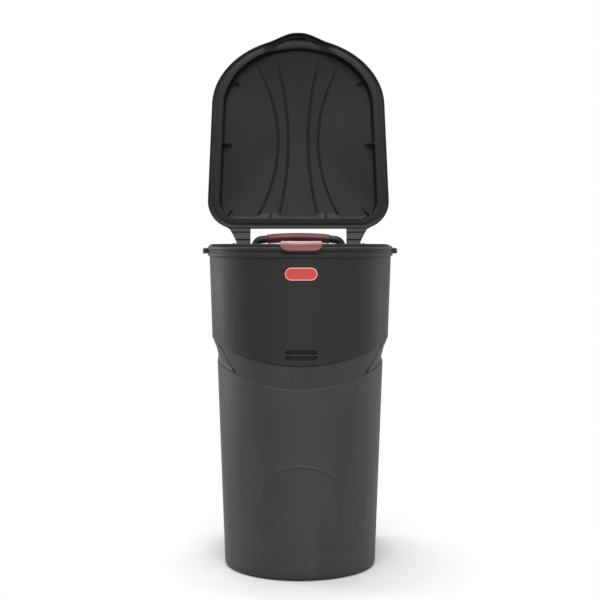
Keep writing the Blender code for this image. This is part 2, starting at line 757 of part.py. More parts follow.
def arm_plan(side):
    """Plan of a hinge arm: straight inside, and flaring outside into the lid's corner."""
    reach = HINGE_Y - LID_REAR
    root = LID_REAR - FLANGE_REAR
    flare = LID_HALF - ARM_OUT
    back = HINGE_Y + TOE_DROP + OVERRUN
    points = [(ARM_OUT, back)]
    points += [(ARM_OUT + out * flare, HINGE_Y + along * reach) for out, along in ARM_FLARE_SHARES]
    points += [(ARM_OUT + ARM_ROOT_SHARE * flare, root), (ARM_IN, root), (ARM_IN, back)]
    return [(side * x, y) for x, y in points]


def arm_side_view():
    """Side view of a closed lid's arm: plate, knuckle and the toe that meets the stop."""
    seat = RIM_TOP + SEAT
    root = LID_REAR - FLANGE_REAR * ROOT_SHARE
    turn = math.radians(LID_OPEN_DEG)
    toe = []
    for forward, down in ((-KNUCKLE_R, TOE_DROP), (KNUCKLE_R, TOE_DROP)):
        y = forward * math.cos(turn) + down * math.sin(turn)
        z = forward * math.sin(turn) - down * math.cos(turn)
        toe.append((HINGE_Y + y, HINGE_Z + z))
    bottom = circle((HINGE_Y, HINGE_Z), KNUCKLE_R, 7, -125.0, 90.0)
    under = [(root, seat + LID_WALL / 2), (LID_REAR - LID_WALL * 2, seat + LID_WALL / 2)]
    under += [(LID_REAR - LID_WALL, seat - SKIRT_DEPTH * ROOT_SHARE)]
    top_z = seat + ARM_THICK - GAP * 2
    top = [(HINGE_Y, HINGE_Z + KNUCKLE_R), (LID_REAR + ARM_THICK, top_z), (root, top_z)]
    return under + bottom + toe + top


def add_arms(lid):
    seat = RIM_TOP + SEAT
    for side in (-1, 1):
        arm = prism("arm", arm_plan(side), HINGE_Z - TOE_DROP - OVERRUN, RIM_TOP + DOME_RISE, "Z")
        ends = sorted((side * (ARM_IN - GAP), side * LID_HALF))
        combine(arm, prism("arm_side", arm_side_view(), *ends, "X"), "INTERSECT")
        combine(lid, arm, "UNION")
        hole_ends = sorted((side * (ARM_IN - OVERRUN), side * (ARM_OUT + OVERRUN)))
        combine(lid, rod("pin_hole", PIN_R + GAP, *hole_ends, HINGE_Y, HINGE_Z), "DIFFERENCE")
        for share in ARM_GROOVE_SHARES:
            y = between(LID_REAR, HINGE_Y, share)
            under = between(seat - SKIRT_DEPTH * ROOT_SHARE, HINGE_Z - KNUCKLE_R * ARM_ROOT_SHARE, share)
            low = (ends[0] - GAP, y - ARM_GROOVE_WIDTH / 2, under - ARM_THICK)
            high = (ends[1] + GAP, y + ARM_GROOVE_WIDTH / 2, under + ARM_GROOVE)
            combine(lid, box("arm_groove", low, high), "DIFFERENCE")


def lid(look, hinge):
    seat = RIM_TOP + SEAT
    shell = lid_shell("lid", 0, seat - SKIRT_DEPTH)
    room = lid_shell("lid_room", -LID_WALL, seat - SKIRT_DEPTH - OVERRUN)
    add_bands(shell, "band", 0)
    add_bands(room, "band_room", LID_WALL)
    combine(shell, room, "DIFFERENCE")
    add_gussets(shell)
    add_arms(shell)
    shell.data.transform(Matrix.Translation((0, -HINGE_Y, -HINGE_Z)))
    shell.parent = hinge
    return finish(shell, look)


def lid_hinge():
    """An empty on the hinge axis, turned to hold the lid open on its stops."""
    hinge = bpy.data.objects.new("lid_hinge_axis", None)
    bpy.context.scene.collection.objects.link(hinge)
    hinge.location = (0, HINGE_Y, HINGE_Z)
    hinge.rotation_euler = (-math.radians(LID_OPEN_DEG), 0, 0)
    return hinge


def hinge_pins(look):
    head_face = LEG_X - BOSS_HALF - GAP
    lug_face = ARM_OUT + LUG_GAP + LUG_THICK
    for side, tag in ((-1, "left"), (1, "right")):
        end = lug_face + CLIP_THICK * 2
        profile = [(head_face - PIN_HEAD, 0), (head_face - PIN_HEAD, PIN_HEAD_R), (head_face, PIN_HEAD_R)]
        profile += [(head_face, PIN_R), (end, PIN_R), (end, 0)]
        pin = turned_cup("hinge_pin_" + tag, profile, HINGE_Y, HINGE_Z, side, PIN_STEPS)
        finish(pin, look)
        near = lug_face + GAP
        far = near + CLIP_THICK
        clip = [(near, PIN_R + GAP), (near, CLIP_R), (far, CLIP_R * CLIP_EDGE_SHARE), (far, PIN_R + GAP)]
        finish(turned("pin_clip_" + tag, clip, HINGE_Y, HINGE_Z, side, PIN_STEPS), look)


def bar_height(x):
    return BAR_Z - BAR_SAG * (x / LEG_X) ** 2


def handle_path():
    """Centre line of the handle's bar and legs, from the left foot to the right."""
    foot_y = PAD_Y + GAP + FOOT_THICK / 2
    right = []
    bar_end = LEG_X - CORNER_BEND
    for i in range(5):
        x = bar_end * i / 4
        right.append(Vector((x, HINGE_Y, bar_height(x))))
    corner_z = bar_height(bar_end) - CORNER_BEND
    for y, z in circle((bar_end, corner_z), CORNER_BEND, 6, 72.0, -72.0):
        right.append(Vector((y, HINGE_Y, z)))
    bend = (HINGE_Y - LEG_BEND, FOOT_Z + LEG_BEND)
    for y, z in circle(bend, LEG_BEND, 6, 0.0, -90.0):
        right.append(Vector((LEG_X, y, z)))
    right.append(Vector((LEG_X, foot_y, FOOT_Z)))
    return [Vector((-p.x, p.y, p.z)) for p in right[:0:-1]] + right


def tube(name, path, radii, sides):
    """A round tube along a path, each ring square to the path's own direction."""
    rings = []
    side_way = Vector((0, 0, 1))
    for i, point in enumerate(path):
        before = path[max(i - 1, 0)]
        after = path[min(i + 1, len(path) - 1)]
        way = (after - before).normalized()
        side_way = (side_way - way * side_way.dot(way)).normalized()
        other = way.cross(side_way)
        ring = circle((0, 0), radii[i], sides)
        rings.append([point + side_way * u + other * v for u, v in ring])
    return loft(name, rings)


def rear_handle(look):
    path = handle_path()
    path[0].y -= FOOT_THICK / 2 - GAP
    path[-1].y -= FOOT_THICK / 2 - GAP
    handle = tube("rear_handle", path, [BAR_R] * len(path), BAR_SIDES)
    for side in (-1, 1):
        boss_ends = sorted((side * (LEG_X - BOSS_HALF), side * (LEG_X + BOSS_HALF)))
        combine(handle, rod("boss", BOSS_R, *boss_ends, HINGE_Y, HINGE_Z, PIN_STEPS), "UNION")
        foot_low = (side * LEG_X - FOOT_HALF_WIDTH, PAD_Y + GAP, FOOT_Z - FOOT_HALF_HEIGHT)
        foot_high = (side * LEG_X + FOOT_HALF_WIDTH, PAD_Y + GAP + FOOT_THICK, FOOT_Z + FOOT_HALF_HEIGHT)
        combine(handle, box("foot", foot_low, foot_high), "UNION")
        hole_ends = sorted((side * (LEG_X - BAR_R * 2), side * (LEG_X + BAR_R * 2)))
        combine(handle, rod("pin_hole", PIN_R + GAP, *hole_ends, HINGE_Y, HINGE_Z), "DIFFERENCE")
    for x, z in screw_places():
        hole = prism("hole", circle((x, z), SCREW_R + GAP, HOLE_STEPS), PAD_Y - OVERRUN, PAD_Y + OVERRUN, "Y")
        combine(handle, hole, "DIFFERENCE")
    return finish(handle, look)


def rear_grip(look):
    """A sleeve round the handle's bar, a little fuller in the middle."""
    path = []
    outer = []
    for i in range(GRIP_STATIONS):
        x = GRIP_HALF * (2 * i / (GRIP_STATIONS - 1) - 1)
        share = abs(x) / GRIP_HALF
        path.append(Vector((x, HINGE_Y, bar_height(x))))
        outer.append(between(GRIP_R, BAR_R + GAP * 4, share**6))
    sleeve = tube("rear_grip", path, outer, GRIP_SIDES)
    ends = [path[0] - (path[1] - path[0])] + path + [path[-1] + (path[-1] - path[-2])]
    combine(sleeve, tube("grip_bore", ends, [BAR_R + GAP * 2] * len(ends), BAR_SIDES), "DIFFERENCE")
    return finish(sleeve, look)


def handle_screws(look):
    face = PAD_Y + GAP + FOOT_THICK + GAP
    flat_share, side_share = SCREW_CROWN_SHARES
    for i, (x, z) in enumerate(screw_places()):
        profile = [(face + SCREW_HEAD, 0), (face + SCREW_HEAD, SCREW_HEAD_R * flat_share)]
        profile += [(face + SCREW_HEAD * side_share, SCREW_HEAD_R), (face, SCREW_HEAD_R), (face, SCREW_R)]
        end = PAD_Y + GAP + FOOT_THICK - SCREW_LENGTH + GAP * 3
        profile += [(end, SCREW_R), (end, 0)]
        screw = turned_cup(f"handle_screw_{i + 1}", profile, 0, 0, 1, HOLE_STEPS)
        screw.data.transform(Matrix.Rotation(math.radians(90), 4, "Z"))
        screw.location = (x, 0, z)
        finish(screw, look)


def front_line(x, half, front):
    """Distance forward of the arched front at a place across it."""
    share = x / half / (1 - SIDE_TAPER_SHARE * front / half)
    return front - ARCH_DEPTH * (1 - math.sqrt(1 - share**2))


def front_grip(look):
    """A saddle that laps the front rim, narrower towards its lower front edge."""
    half = UPPER_HALF + LIP_OUT
    front = UPPER_FRONT + LIP_OUT
    lip = LIP_OUT + WALL + FRONT_GRIP_FIT
    back = -lip - FRONT_GRIP_WALL
    roof = RIM_TOP + GAP
    low = FRONT_GRIP_LOW
    deep = low - FRONT_GRIP_BACK
    proud = FRONT_GRIP_PROUD
    section = [(GAP, low, GRIP_LOW_SHARES[0][-1])]
    section += [(proud * out, between(low, roof, up), wide) for out, up, wide in GRIP_LOW_SHARES]
    section += [(proud * out, between(roof, FRONT_GRIP_TOP, up), wide) for out, up, wide in GRIP_TOP_SHARES]
    for inward, up, wide in GRIP_CROWN_SHARES:
        section.append((between(proud, back, inward), between(roof, FRONT_GRIP_TOP, up), wide))
    section += [(back, deep, GRIP_BACK_SHARE), (-lip, deep, GRIP_BACK_SHARE), (-lip, roof, 1), (GAP, roof, 1)]
    rings = []
    for i in range(GRIP_STATIONS):
        share = 2 * i / (GRIP_STATIONS - 1) - 1
        ring = []
        for out, z, width_share in section:
            x = FRONT_GRIP_HALF * share * width_share
            ring.append((x, -front_line(x, half, front) - out, z))
        rings.append(ring)
    return finish(loft("front_grip", rings), look)


def badge_plate(look):
    """A plain plate with round ends that follows the front wall."""
    wall_low = between(SHOULDER_Z, UPPER_TOP, BEND_SHARE) - SHOULDER_DIP * BEND_DIP_SHARE
    height_share = (PLATE_Z - wall_low) / (UPPER_TOP - wall_low)
    half = between(SHOULDER_HALF, UPPER_HALF, height_share)
    front = between(SHOULDER_FRONT, UPPER_FRONT, height_share)
    lean = (UPPER_FRONT - SHOULDER_FRONT) / (UPPER_TOP - wall_low)
    section = [(PLATE_THICK * out, up) for out, up in PLATE_SECTION_SHARES]
    rings = []
    for i in range(PLATE_COLUMNS + 1):
        share = math.sin(math.pi / 2 * (2 * i / PLATE_COLUMNS - 1))
        x = PLATE_HALF_WIDTH * share
        inside = max((abs(x) - PLATE_HALF_WIDTH + PLATE_HALF_HEIGHT) / PLATE_HALF_HEIGHT, 0)
        tall = PLATE_HALF_HEIGHT * max(math.sqrt(max(1 - inside**2, 0)), PLATE_END_SHARE)
        ring = []
        for out, up in [(GAP * 2, -1)] + section + [(GAP * 2, 1)]:
            z = tall * up
            y = -front_line(x, half, front) - out - lean * z
            ring.append((x, y, PLATE_Z + z))
        rings.append(ring)
    return finish(loft("badge_plate", rings), look)


def wheel(tag, side, plastic, rubber, metal):
    inner = WHEEL_OUT - WHEEL_WIDTH
    middle = WHEEL_OUT - WHEEL_WIDTH / 2
    bed = WHEEL_R - TYRE_THICK
    bore = AXLE_R + GAP
    profile = [(inner, bore), (inner, HUB_R * HUB_TAPER_SHARE), (middle - WEB / 2, HUB_R)]
    profile += [(middle - WEB / 2, bed - RIM_WALL)]
    profile += [(inner + WEB / 2, bed - RIM_WALL / 2), (inner + WEB / 2, bed), (WHEEL_OUT - WEB / 2, bed)]
    profile += [(WHEEL_OUT - WEB / 2, bed - RIM_WALL / 2), (middle + WEB / 2, bed - RIM_WALL)]
    profile += [(middle + WEB / 2, HUB_R), (WHEEL_OUT, HUB_R * HUB_TAPER_SHARE), (WHEEL_OUT, bore)]
    disc = turned("wheel_" + tag, profile, AXLE_Y, WHEEL_R, side, WHEEL_STEPS)
    ring = between(HUB_R, bed - RIM_WALL, SPOKE_RING_SHARE)
    for y, z in circle((AXLE_Y, WHEEL_R), ring, SPOKE_HOLES):
        ends = sorted((side * inner, side * WHEEL_OUT))
        combine(disc, rod("spoke_hole", SPOKE_HOLE_R, *ends, y, z, HOLE_STEPS), "DIFFERENCE")
    finish(disc, plastic)
    tread = WHEEL_WIDTH * TREAD_SHARES[0]
    edge = tread * TREAD_SHARES[1]
    wall_r = bed + TYRE_THICK * SIDEWALL_SHARES[0]
    edge_r = WHEEL_R * SIDEWALL_SHARES[1]
    tyre = [(inner + WEB / 2, bed + GAP), (inner, wall_r), (inner + edge, edge_r), (inner + tread, WHEEL_R)]
    tyre += [(WHEEL_OUT - tread, WHEEL_R), (WHEEL_OUT - edge, edge_r), (WHEEL_OUT, wall_r)]
    tyre.append((WHEEL_OUT - WEB / 2, bed + GAP))
    finish(turned("tyre_" + tag, tyre, AXLE_Y, WHEEL_R, side, WHEEL_STEPS), rubber)
    washer_in = inner - WELL_GAP + GAP
    washer = [(washer_in, bore), (washer_in, WASHER_R), (inner - GAP, WASHER_R), (inner - GAP, bore)]
    finish(turned("axle_washer_" + tag, washer, AXLE_Y, WHEEL_R, side, PIN_STEPS), plastic)
    face = WHEEL_OUT + GAP
    nut = [(face, bore), (face, NUT_R), (face + NUT_THICK * NUT_SHARES[0], NUT_R)]
    nut += [(face + NUT_THICK, AXLE_R * NUT_SHARES[1]), (face + NUT_THICK, bore)]
    finish(turned("push_nut_" + tag, nut, AXLE_Y, WHEEL_R, side, PIN_STEPS), metal)


def hub_cap(tag, side, look):
    base = WHEEL_OUT + GAP
    top = base + CAP_DEPTH
    down, inward = CAP_HOLLOW_SHARES
    profile = [(top, 0)] + [(top - CAP_WALL * drop, CAP_R * wide) for drop, wide in CAP_SHARES]
    profile += [(base, CAP_R), (base, CAP_R - CAP_WALL), (top - CAP_WALL * down, CAP_R - CAP_WALL * inward)]
    profile.append((top - CAP_WALL, 0))
    finish(turned_cup("hub_cap_" + tag, profile, AXLE_Y, WHEEL_R, side, PIN_STEPS), look)


def axle(look):
    end = WHEEL_OUT + AXLE_END
    finish(rod("axle", AXLE_R, -end, end, AXLE_Y, WHEEL_R, PIN_STEPS), look)


def main():
    clear_scene()
    black = material("body_plastic", (0.035, 0.036, 0.037), 0.45)
    lid_black = material("lid_plastic", (0.030, 0.032, 0.034), 0.42)
    handle_black = material("handle_plastic", (0.020, 0.020, 0.021), 0.4)
    red = material("grip_red", (0.36, 0.03, 0.03), 0.5)
    plate_red = material("plate_red", (0.55, 0.05, 0.04), 0.4)
    wheel_black = material("wheel_plastic", (0.02, 0.02, 0.02), 0.5)
    rubber = material("tyre_rubber", (0.015, 0.015, 0.015), 0.8)
    steel = material("zinc_steel", (0.55, 0.56, 0.58), 0.35, 1)
    can_body(black)
    lid(lid_black, lid_hinge())
    hinge_pins(steel)
    rear_handle(handle_black)
    rear_grip(red)
    handle_screws(steel)
    front_grip(red)
    badge_plate(plate_red)
    axle(steel)
    for tag, side in (("left", -1), ("right", 1)):
        wheel(tag, side, wheel_black, rubber, steel)
        hub_cap(tag, side, wheel_black)


main()
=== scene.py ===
"""Looks of the wheeled trash can: fine surfaces, materials, floor, light and camera. Metres, +Z up."""

import math

import bmesh
import bpy
from mathutils import Matrix, Vector

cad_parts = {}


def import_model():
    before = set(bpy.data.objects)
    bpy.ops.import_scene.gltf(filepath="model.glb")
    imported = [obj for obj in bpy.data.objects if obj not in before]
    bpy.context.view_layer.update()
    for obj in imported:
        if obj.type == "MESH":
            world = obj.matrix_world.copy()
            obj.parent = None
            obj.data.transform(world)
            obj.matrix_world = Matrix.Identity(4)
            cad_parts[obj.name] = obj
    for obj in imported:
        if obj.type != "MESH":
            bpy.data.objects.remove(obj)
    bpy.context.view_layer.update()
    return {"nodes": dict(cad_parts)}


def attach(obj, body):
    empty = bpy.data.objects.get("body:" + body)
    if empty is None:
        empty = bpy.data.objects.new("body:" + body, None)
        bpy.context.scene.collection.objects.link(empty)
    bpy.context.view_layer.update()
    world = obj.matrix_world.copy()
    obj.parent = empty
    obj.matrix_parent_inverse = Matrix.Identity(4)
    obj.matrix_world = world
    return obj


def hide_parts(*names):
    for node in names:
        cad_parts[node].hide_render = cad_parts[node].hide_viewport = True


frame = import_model()

# Plan of the can: half width at the middle, reach to the front and to the rear
UPPER = (0.2845, 0.3165, 0.300)
SHOULDER = (0.2769, 0.302, 0.294)
LOWER_TOP = (0.2607, 0.286, 0.284)
BASE = (0.2383, 0.257, 0.262)
CORNER = 0.090
ARCH_DEPTH = 0.225
ARCH_POWER = 1.35
SIDE_TAPER_SHARE = 0.037

# Heights of the can and its rim
RIM_TOP = 1.003
LEDGE_TOP = RIM_TOP - 0.019
LEDGE_LOW = LEDGE_TOP - 0.010
UPPER_TOP = LEDGE_LOW - 0.008
LOWER_TOP_Z = 0.644
SHOULDER_Z = LOWER_TOP_Z + 0.078
SHOULDER_DIP = 0.068
UPPER_START = 0.01
BASE_EDGE = 0.014
FLOOR_THICK = 0.006
WALL = 0.004
LEDGE_OUT = 0.006
LIP_OUT = 0.0048
GROOVE_OUT = 0.0008
OVERRUN = 0.02
FINE_EDGE = 0.0008

# Rim as heights with steps out: its ledge, groove and lip
RIM = ((LEDGE_LOW - 0.004, 0.0002), (LEDGE_LOW - 0.0008, 0.001), (LEDGE_LOW, LEDGE_OUT - 0.001),
       (LEDGE_LOW + 0.001, LEDGE_OUT), (LEDGE_TOP - 0.0012, LEDGE_OUT), (LEDGE_TOP, LEDGE_OUT - 0.0012),
       (LEDGE_TOP + 0.0005, GROOVE_OUT + 0.001), (LEDGE_TOP + 0.002, GROOVE_OUT),
       (LEDGE_TOP + 0.0075, GROOVE_OUT), (LEDGE_TOP + 0.0095, LIP_OUT - 0.0008),
       (LEDGE_TOP + 0.0105, LIP_OUT), (RIM_TOP - 0.0022, LIP_OUT), (RIM_TOP - 0.0007, LIP_OUT - 0.0008),
       (RIM_TOP, LIP_OUT - 0.0022))

# Rounding under the base, and the mouth as heights over the rim with steps out
BASE_TUCK = BASE_EDGE * 0.8
BASE_ROUND_SHARES = (0, 0.12, 0.3, 0.55)
BASE_ROUND_POWER = 2.2
MOUTH = ((-0.003, 0), (-0.001, 0.0006), (0, 0.002), (OVERRUN, OVERRUN))

# Swell of the shoulder band over its rise
BAND_SHARES = ((0, 0), (0.012, -0.02), (0.045, -0.22), (0.09, -0.20), (0.88, 0.72), (0.915, 0.71),
               (0.935, 0.70), (0.96, 0.71), (0.985, 0.93), (1, 1))

# Recesses in the sides: depth, soft steps in height and to the rear, and the slit at the front end
RECESS_DEPTH = 0.003
RECESS_LOW = LOWER_TOP_Z + 0.004
RECESS_HIGH = RECESS_LOW + 0.058
RECESS_SILL = (RECESS_LOW - 0.002, RECESS_LOW + 0.010)
RECESS_LINTEL = (RECESS_HIGH - 0.016, RECESS_HIGH + 0.004)
RECESS_REAR = (0.100, 0.120)
RECESS_FRONT_HIGH = -0.158
RECESS_FRONT_LOW = -0.192
RECESS_FRONT_SOFT = 0.002
SLIT_DEPTH = 0.009
SLIT_SIDE = (0.0016, 0.0060)
SLIT_RISE_SHARES = ((-0.06, 0.08), (1.0, 1.16))

# Slot in the front wall, with a bar across it
SLOT_HALF_WIDTH = 0.0465
SLOT_HALF_HEIGHT = 0.014
SLOT_CORNER = SLOT_HALF_HEIGHT * 0.7
SLOT_Z = SHOULDER_Z - 0.038
SLOT_SOFT = 0.0012
SLOT_DEPTH = 0.006
SLOT_MORE_DEPTH = 0.004
SLOT_BAR_STEP = (0.0027, 0.0047)
SLOT_BAR_SHARE = 0.75
SLOT_DEEP_STEP = (0.0045, 0.0065)

# Raised arch over the foot
FOOT_ARCH_HALF = 0.1245
FOOT_ARCH_TOP = 0.352
FOOT_ARCH_SQUASH = 1.45
FOOT_ARCH_FADE = (0.195, 0.265)
FOOT_ARCH_RIDGE = ((-0.002, 0.002), (0.008, 0.014))
FOOT_ARCH_FIELD = (0.010, 0.016)
FOOT_ARCH_SINK_SHARE = 0.25
FOOT_ARCH_RISE = 0.0022

# Rings of the wall: low and high end of each stretch and the step in it
OUTER_STRETCHES = ((BASE_EDGE, 0.215, 0.02), (0.215, 0.355, 0.007), (0.355, 0.418, 0.0023),
                   (0.418, 0.62, 0.03), (0.62, 0.775, 0.0016), (0.775, UPPER_TOP, 0.014))
INNER_STRETCHES = ((BASE_EDGE + FLOOR_THICK, 0.08, 0.09), (0.08, 0.62, 0.09), (0.62, 0.70, 0.004),
                   (0.70, 0.725, 0.002), (0.725, 0.775, 0.0025), (0.775, UPPER_TOP, 0.03))
INNER_MARGIN = WALL * 1.25
LEDGE_REACH = WALL * 0.7
CAN_STEPS = (14, 16, 26, 128)

# Lid, worked out closed and then turned open
SEAT_Z = RIM_TOP + 0.0008
LID = tuple(size + over for size, over in zip(UPPER, (0.0235, 0.0285, 0.035)))
LID_CORNER = 0.100
LID_ARCH = 0.237
LID_WALL = 0.0035
LID_STEPS = (56, 14, 36, 130)
SKIRT_DEPTH = 0.0075
SKIRT_SHARE = 0.8
EDGE_BEND = 0.0022
FLANGE = (0.037, 0.026, 0.032)
BEAD_RISE = 0.0014
BEAD_SHARES = ((0.2, 0), (0.26, 1), (0.34, 1), (0.40, 0), (0.6, 0), (0.8, 0), (0.93, 0.2))
DOME_RISE = 0.040
DOME_SLOPE = 0.007
DOME_SHARES = ((0.06, 0.0, 0.95), (0.16, 0.06, 0.8), (0.4, 0.18, 0.42), (0.66, 0.34, 0.12),
               (0.82, 0.5, 0.03), (0.92, 0.66, 0), (0.98, 0.84, 0), (1, 1, 0))
CROWN_RISE = 0.0172
CROWN_RINGS = 84
CROWN_POWER = 1.4
HOOD_REACH = 0.019
HOOD_RISE = 0.0225
HOOD_WIDTHS = ((0.110, 0.010), (0.132, 0.065))
HOOD_SLOT_SIDE = (0.029, 0.033)
HOOD_SLOT_DEPTH = 0.0045

# Hourglass lines inside the lid, and the band between them
BAND_RISE = 0.0014
BAND_FRONT = (0.055, 0.130)
BAND_REAR = (0.060, 0.045)
LINE_HALF = 0.0036
LINE_DEPTH = 0.0038
LINE_SIDE_SHARES = (0.3, 1.3)
LINE_WAIST_SHARE = 0.535
LINE_SHARES = ((0.117, 0.68), (0.230, 1.50))

# Gussets: shares of the dome's foot across and along, to the front where below 0, turn and length
GUSSET_HALF = 0.003
GUSSET_LOW = 0.012
GUSSET_DROP = 0.003
GUSSETS = ((0.886, -0.655, -36.0, 0.040), (1.0, 0.10, 0.0, 0.036), (0.965, 0.975, 53.0, 0.050),
           (0.36, 1.0, 90.0, 0.030))

SIDES = (("left", -1), ("right", 1))

# Wheels and axle
WHEEL_R = 0.100
WHEEL_WIDTH = 0.042
WHEEL_OUT = BASE[0] - 0.0023
WHEEL_IN = WHEEL_OUT - WHEEL_WIDTH
WHEEL_MIDDLE = WHEEL_OUT - WHEEL_WIDTH / 2
AXLE_R = 0.006
AXLE_Y = BASE[2] - 0.027
TYRE_THICK = 0.012
TYRE_BED = WHEEL_R - TYRE_THICK
TREAD_EDGE = WHEEL_WIDTH * 0.12
TREAD_GROOVES = 4
TREAD_GROOVE = ((-0.0016, 0), (-0.0009, 0.0016), (0.0009, 0.0016), (0.0016, 0))
HUB_R = 0.020
HUB_TAPER_SHARE = 0.9
WEB = 0.008
RIM_WALL = 0.006
SPOKES = 6
SPOKE_HOLE_R = 0.015
SPOKE_RING_SHARE = 0.52
RIB_HALF = 0.0016
RIB_HEIGHT_SHARE = 0.34
RIB_SUNK_SHARE = 0.9
CAP_R = 0.019
CAP_DEPTH = 0.009
CAP_WALL = 0.002
CAP_TIP = 0.0002
CAP_DOME = ((0.0003, 0.35), (0.0009, 0.62), (0.0024, 0.84), (0.0042, 0.95), (0.006, 0.985))
HANGER_THICK = 0.012
HANGER_INNER_X = 0.055
HANGER_R = 0.017
HANGER_OUT = WHEEL_IN - 0.0045
WELL_FACE = HANGER_OUT - WALL / 2
WHEEL_ROOM_R = WHEEL_R + 0.018
STEP_Z = WHEEL_R + 0.028
STEP_Y = AXLE_Y - 0.080
CUT_END = (0.3, 0.35)
WELL_END = 0.31

# Hinge and its lugs, stops and arms
HINGE_Y = LID[2] + 0.065
HINGE_Z = RIM_TOP - 0.013
HINGE = Vector((0, HINGE_Y, HINGE_Z))
OPEN_TURN = math.radians(97.0)
PIN_R = 0.0045
GAP = 0.0003
KNUCKLE_R = 0.011
ARM_OUT = LID[0] - 0.092
ARM_IN = ARM_OUT - 0.0485
ARM_THICK = 0.010
ARM_FLARE_SHARES = ((0, -0.28), (0.10, -0.57), (0.175, -0.78), (0.275, -1), (0.53, -1.21))
ARM_ROOT_SHARE = 0.62
ARM_GROOVE_SHARES = (0.2, 0.62)
ARM_GROOVE_HALF = 0.002
ARM_GROOVE_DEPTH = 0.0015
LUG_GAP = 0.0025
LUG_THICK = 0.012
LUG_R = 0.013
LUG_DROP = 0.090
TOE_DROP = 0.028
STOP_TOP = HINGE_Z - 0.016
STOP_THICK = 0.019

# Side grips, handle, grips and plate
SIDE_GRIP_OUT = 0.016
SIDE_GRIP_LENGTH = 0.110
SIDE_GRIP_TOP = RIM_TOP - 0.008
SIDE_GRIP_DEPTH = 0.016
SIDE_GRIP_WALL = 0.004
SIDE_GRIP_CORNER = SIDE_GRIP_OUT * 0.8
BAR_Z = HINGE_Z + 0.0325
BAR_SAG = 0.010
BAR_R = 0.0135
LEG_X = ARM_IN - 0.0175
LEG_BEND = 0.030
CORNER_BEND = 0.024
CORNER_TURN = 82.0
FOOT_Z = HINGE_Z - 0.070
FOOT_HALF_HEIGHT = 0.036
FOOT_HALF_WIDTH = 0.018
FOOT_THICK = 0.008
PAD_Y = UPPER[2] + 0.012
BOSS_R = 0.012
BOSS_HALF = 0.0155
GRIP_R = 0.0165
GRIP_HALF = 0.108
GRIP_END = 0.006
GRIP_RING = ((GRIP_HALF - 0.016, GRIP_HALF - 0.014), (GRIP_HALF - 0.012, GRIP_HALF - 0.010))
GRIP_RING_DEPTH = 0.0007
GRIP_STATIONS = 120
FRONT_GRIP_HALF = 0.061
FRONT_GRIP_TOP = RIM_TOP + 0.0192
FRONT_GRIP_LOW = RIM_TOP - 0.0105
FRONT_GRIP_PROUD = 0.0105
FRONT_GRIP_BACK = 0.0105
FRONT_GRIP_WALL = 0.004
FRONT_GRIP_FIT = 0.001
FRONT_GRIP_STATIONS = 40
FRONT_GRIP_FACE = ((0.9, 0.12, 0.69), (1, 0.5, 0.89), (1, 1, 0.975))
FRONT_GRIP_BROW = ((0.97, 0.3, 1), (0.85, 0.62, 0.998), (0.6, 0.86, 0.985), (0.25, 0.97, 0.975))
FRONT_GRIP_CROWN = ((0.5, 1, 0.97), (0.7, 0.96, 0.975), (0.86, 0.8, 0.985), (1, 0.45, 1))
PLATE_HALF_WIDTH = 0.0485
PLATE_HALF_HEIGHT = 0.0195
PLATE_Z = RIM_TOP - 0.078
PLATE_WALL_SHARE = 0.04
PLATE_DIP_SHARE = 0.98
PLATE_FACE = ((GAP * 2, 0), (0.0018, 0), (0.0022, 0.0004), (0.0022, 0.006), (0.0022, 0.012))
PLATE_EDGE = ((0.0018, 0.0007), (0.0027, 0.0007), (0.0031, 0.0012), (0.0031, 0.0030),
              (0.0027, 0.0036), (0.0018, 0.0036))

# Plastics: two tones, roughness, and what else moulded() is told
PLASTICS = {
    # The body's low factor paints the can paler below its shoulder: painted light for the white floor's
    # bounce.
    "body_plastic_fine": ((0.0118, 0.0121, 0.0123), (0.0163, 0.0167, 0.0168), 0.50,
                          {"wear": 0.35, "drift": 0.10, "low": 2.4}),
    "lid_plastic_fine": ((0.0062, 0.0070, 0.0078), (0.0092, 0.0103, 0.0115), 0.38,
                         {"specular": 0.12, "wear": 0.3}),
    "handle_plastic_fine": ((0.008, 0.008, 0.0085), (0.013, 0.013, 0.0135), 0.42, {"wear": 0.3}),
    "grip_red_fine": ((0.092, 0.010, 0.010), (0.130, 0.016, 0.016), 0.37,
                      {"grain": 1600.0, "depth": 0.0001, "specular": 0.8, "wear": 0.12}),
    # Darker copy of the grip red for the rear grip: painted shade, as the lid above it shades the grip.
    "grip_red_painted_shade": ((0.050, 0.007, 0.007), (0.070, 0.011, 0.011), 0.44,
                      {"grain": 1600.0, "depth": 0.0001, "specular": 0.3}),
    "plate_red_fine": ((0.34, 0.022, 0.018), (0.42, 0.034, 0.030), 0.36,
                       {"grain": 1600.0, "depth": 0.00006, "specular": 0.3}),
    "plate_edge_fine": ((0.50, 0.22, 0.20), (0.60, 0.30, 0.28), 0.40,
                        {"grain": 1600.0, "depth": 0.00006, "specular": 0.4}),
    "wheel_plastic_fine": ((0.010, 0.010, 0.010), (0.017, 0.017, 0.017), 0.5, {"wear": 0.3, "drift": 0.3}),
}
DUST = (0.13, 0.12, 0.11)
DUST_TOP = 0.35
RUBBER = ((0.010, 0.010, 0.010), (0.026, 0.025, 0.024))
RUBBER_DUST = (0.085, 0.08, 0.075)
ZINC = ((0.46, 0.47, 0.49), (0.66, 0.66, 0.67))

